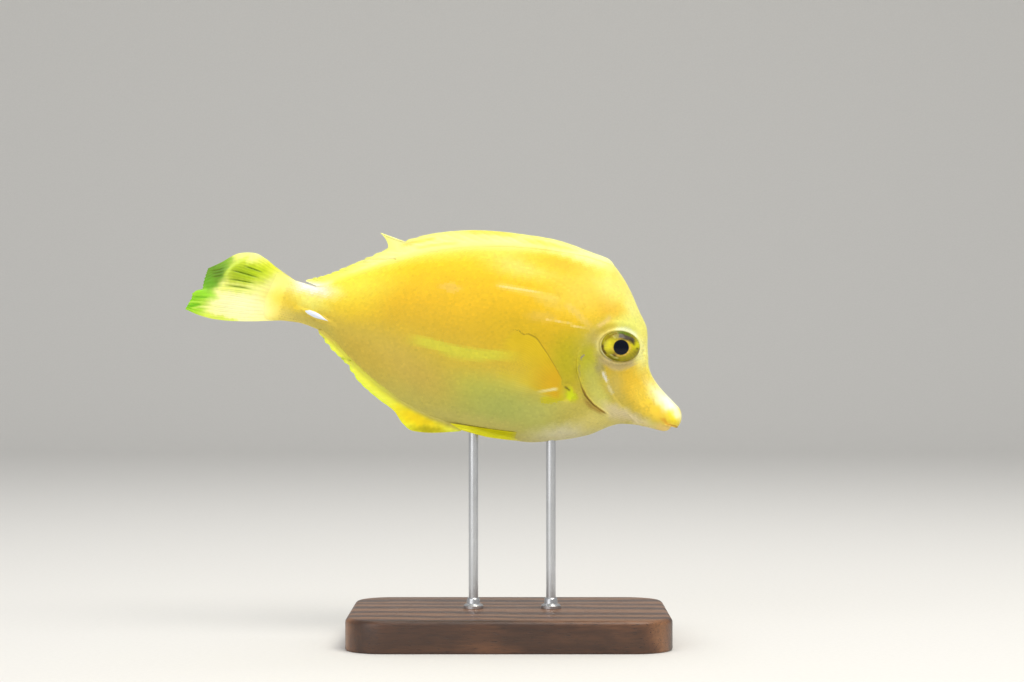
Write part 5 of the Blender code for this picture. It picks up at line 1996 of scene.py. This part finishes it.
DORSAL = FoldedFin(
    name="dorsal_fin_sheet", up=1.0, rays=28, base_line=FLESH.back_line, base=(10.2, 96.0),
    edge=((3.6, 7.2), (10, 11.3), (14.7, 15.2), (19.2, 19), (24, 23.2), (28.5, 27.3), (38.2, 33.4),
          (51.5, 38.4),
          (63.8, 41.0), (77.4, 42.6), (86, 42.1), (92.2, 41.7), (94.4, 40.7), (96.2, 38.9)),
    lean=((10.2, 6.5), (22, 12), (45, 17.0), (70, 14.0), (88, 6.0), (96, 0.8)), torn=(27.4, (21.8, 28.4)),
    grade=((0.0, "#fff6a2"), (0.5, "#fff8a0"), (0.85, "#fefb9c"), (1.0, "#f8f88c")),
    # The second wash, near-white at the fin's front top, is a painted highlight, as lit from above.
    layers=(Wash("#eef45e", (10, 11), (9, 4), 40, strength=0.8), Wash("#fffcae", (88, 41), (10, 3), 0),
            Stroke("#f3e04a", ((28.1, 25.8), (33.7, 29.2), (39.5, 32.3)), 0.15, 0.6, 0.5),
            Stroke("#ffe24e", ((62, 38.4), (72, 40.2), (82, 40.4), (90, 39.6)), 0.3, 1.1, 0.6, (0.3, 0.3)),
            Stroke("#f6e64c", ((44, 35.4), (56, 38.9), (66, 40.4)), 0.2, 0.8, 0.5, (0.3, 0.3)),
            Stroke("#f0de48", ((33, 26.5), (39.2, 29.7), (47.2, 32.9)), 0.15, 0.6, 0.4)),
)
ANAL = FoldedFin(
    name="anal_fin_sheet", up=-1.0, rays=16, base_line=FLESH.belly_line, base=(14.9, 64.6), tooth=0.8,
    shown=0.6,
    edge=((12, -6.9), (17.9, -11.2), (22.9, -13.6), (29, -18.4), (36.7, -21.9), (42, -23.8), (46, -26.9),
          (49.2, -28.2), (53, -27.7), (61.3, -25), (66, -22.9)),
    lean=((14.9, 2.9), (25, 5.0), (45, 7.5), (58, 4.0), (64.6, 0.4)),
    grade=((0.0, "#e8d02c"), (0.3, "#f6f436"), (0.8, "#fcff54"), (1.0, "#e8fa48")),
    layers=(Wash("#fada00", (49.5, -24.4), (7.5, 2.4), -5, strength=0.97),
            Wash("#a8a000", (54, -26.7), (5.4, 1.2), 12, soft=0.8, strength=0.8)),
)
PECTORAL_LAYERS: tuple[Layer, ...] = (
    Wash("#dcaa0c", (86, -0.5), (5, 4.5), -35, strength=0.9),
    # Painted highlight: a pale sheen on the fin's membrane near its base.
    Stroke("#efe8c4", ((82.4, -6.3), (83.8, -4.9), (86.2, -3.5), (88.1, -2.6), (90, -1.7)), 0.12, 0.7, 0.75),
)


def main() -> None:
    """Builds the studio and then the model, piece by piece."""
    Studio().build()
    hide = PaintedHide().make()
    shields = PaintedHide(name="airbrushed_resin_scales", scale_depth=0.008).make()
    film = FinFilm().make()
    glass = GlassEye().make()
    bone = PolishedBone().make()
    steel = BrushedSteel().make()
    skin = Skin()
    finish_piece(skin.build(), hide, "skin", "head", "lower_jaw", "trunk", "tail_stalk")
    for side in Side:
        word = side.name.lower()
        fields = (
            ScaleField(f"scales_rear_{word}", side, (-1.0, 50.0), 0.92, 0.74, 1.25, 0.95, 0.034, 11),
            ScaleField(f"scales_flank_{word}", side, (50.0, 93.0), 0.92, 0.74, 1.25, 0.95, 0.034, 12),
            ScaleField(f"scales_head_{word}", side, (93.0, 122.0), 0.62, 0.5, 0.84, 0.64, 0.024, 13),
        )
        for scales in fields:
            finish_piece(scales.build(skin), shields, "skin")
    finish_piece(DORSAL.build(), film, "fin", "dorsal_fin")
    finish_piece(ANAL.build(), film, "fin", "anal_fin")
    finish_piece(TailFin().build(), film, "fin", "tail_fin")
    for side in Side:
        word = side.name.lower()
        pectoral = SideFin(
            name=f"pectoral_sheet_{word}", side=side, rays=15, bulge=4.2, lift=-0.1, see_through=0.95,
            off=0.2,
            first=((91.8, -1.2), (89.1, 1.8), (85.1, 5.7), (81.3, 9.0), (77.7, 11.5), (75.4, 11.8),
                   (74.5, 11.2),
                   (72.2, 12.0), (70.4, 11.5)),
            last=((93.6, -4.6), (89, -6.2), (83.4, -6.9), (78, -7.8), (72.6, -7.9)),
            grade=((0.0, "#cfc51c"), (0.2, "#d8b00a"), (0.5, "#dab80c"), (0.8, "#d8c41c"), (1.0, "#cdbd22")),
            layers=PECTORAL_LAYERS,
        )
        finish_piece(pectoral.build(), film, "fin", f"pectoral_fin_{word}")
        pelvic = SideFin(
            name=f"pelvic_sheet_{word}", side=side, rays=5, bulge=0.6, lift=0.5, clear=2.15, see_through=0.1,
            off=0.45,
            first=((83.4, -18.4), (77, -19.6), (70, -20.8), (60.4, -22.3)),
            last=((83, -21.3), (77.3, -22.4), (71.6, -23.2), (64.4, -23.4)),
            grade=((0.0, "#d6d03a"), (0.3, "#d0cc0a"), (1.0, "#dcd800")), layers=(),
        )
        finish_piece(pelvic.build(), film, "fin", f"pelvic_fin_{word}")
        finish_piece(EYE.build(f"eye_ball_{word}", side), glass, "eye", f"eye_{word}")
        finish_piece(BLADE.build(f"tail_blade_{word}", side), bone, "spine", f"tail_spine_{word}")
    stand = Stand()
    finish_piece(stand.base(), OiledWalnut().make(), "stand_wood", "stand_base")
    for word, ahead, top in stand.rods:
        rod = stand.rod_with_ferrule(f"stand_rod_{word}_turned", ahead, top)
        finish_piece(rod, steel, "stand_metal", f"stand_rod_{word}")


if __name__ == "__main__":
    logging.basicConfig(level=logging.INFO, format="%(message)s")
    main()
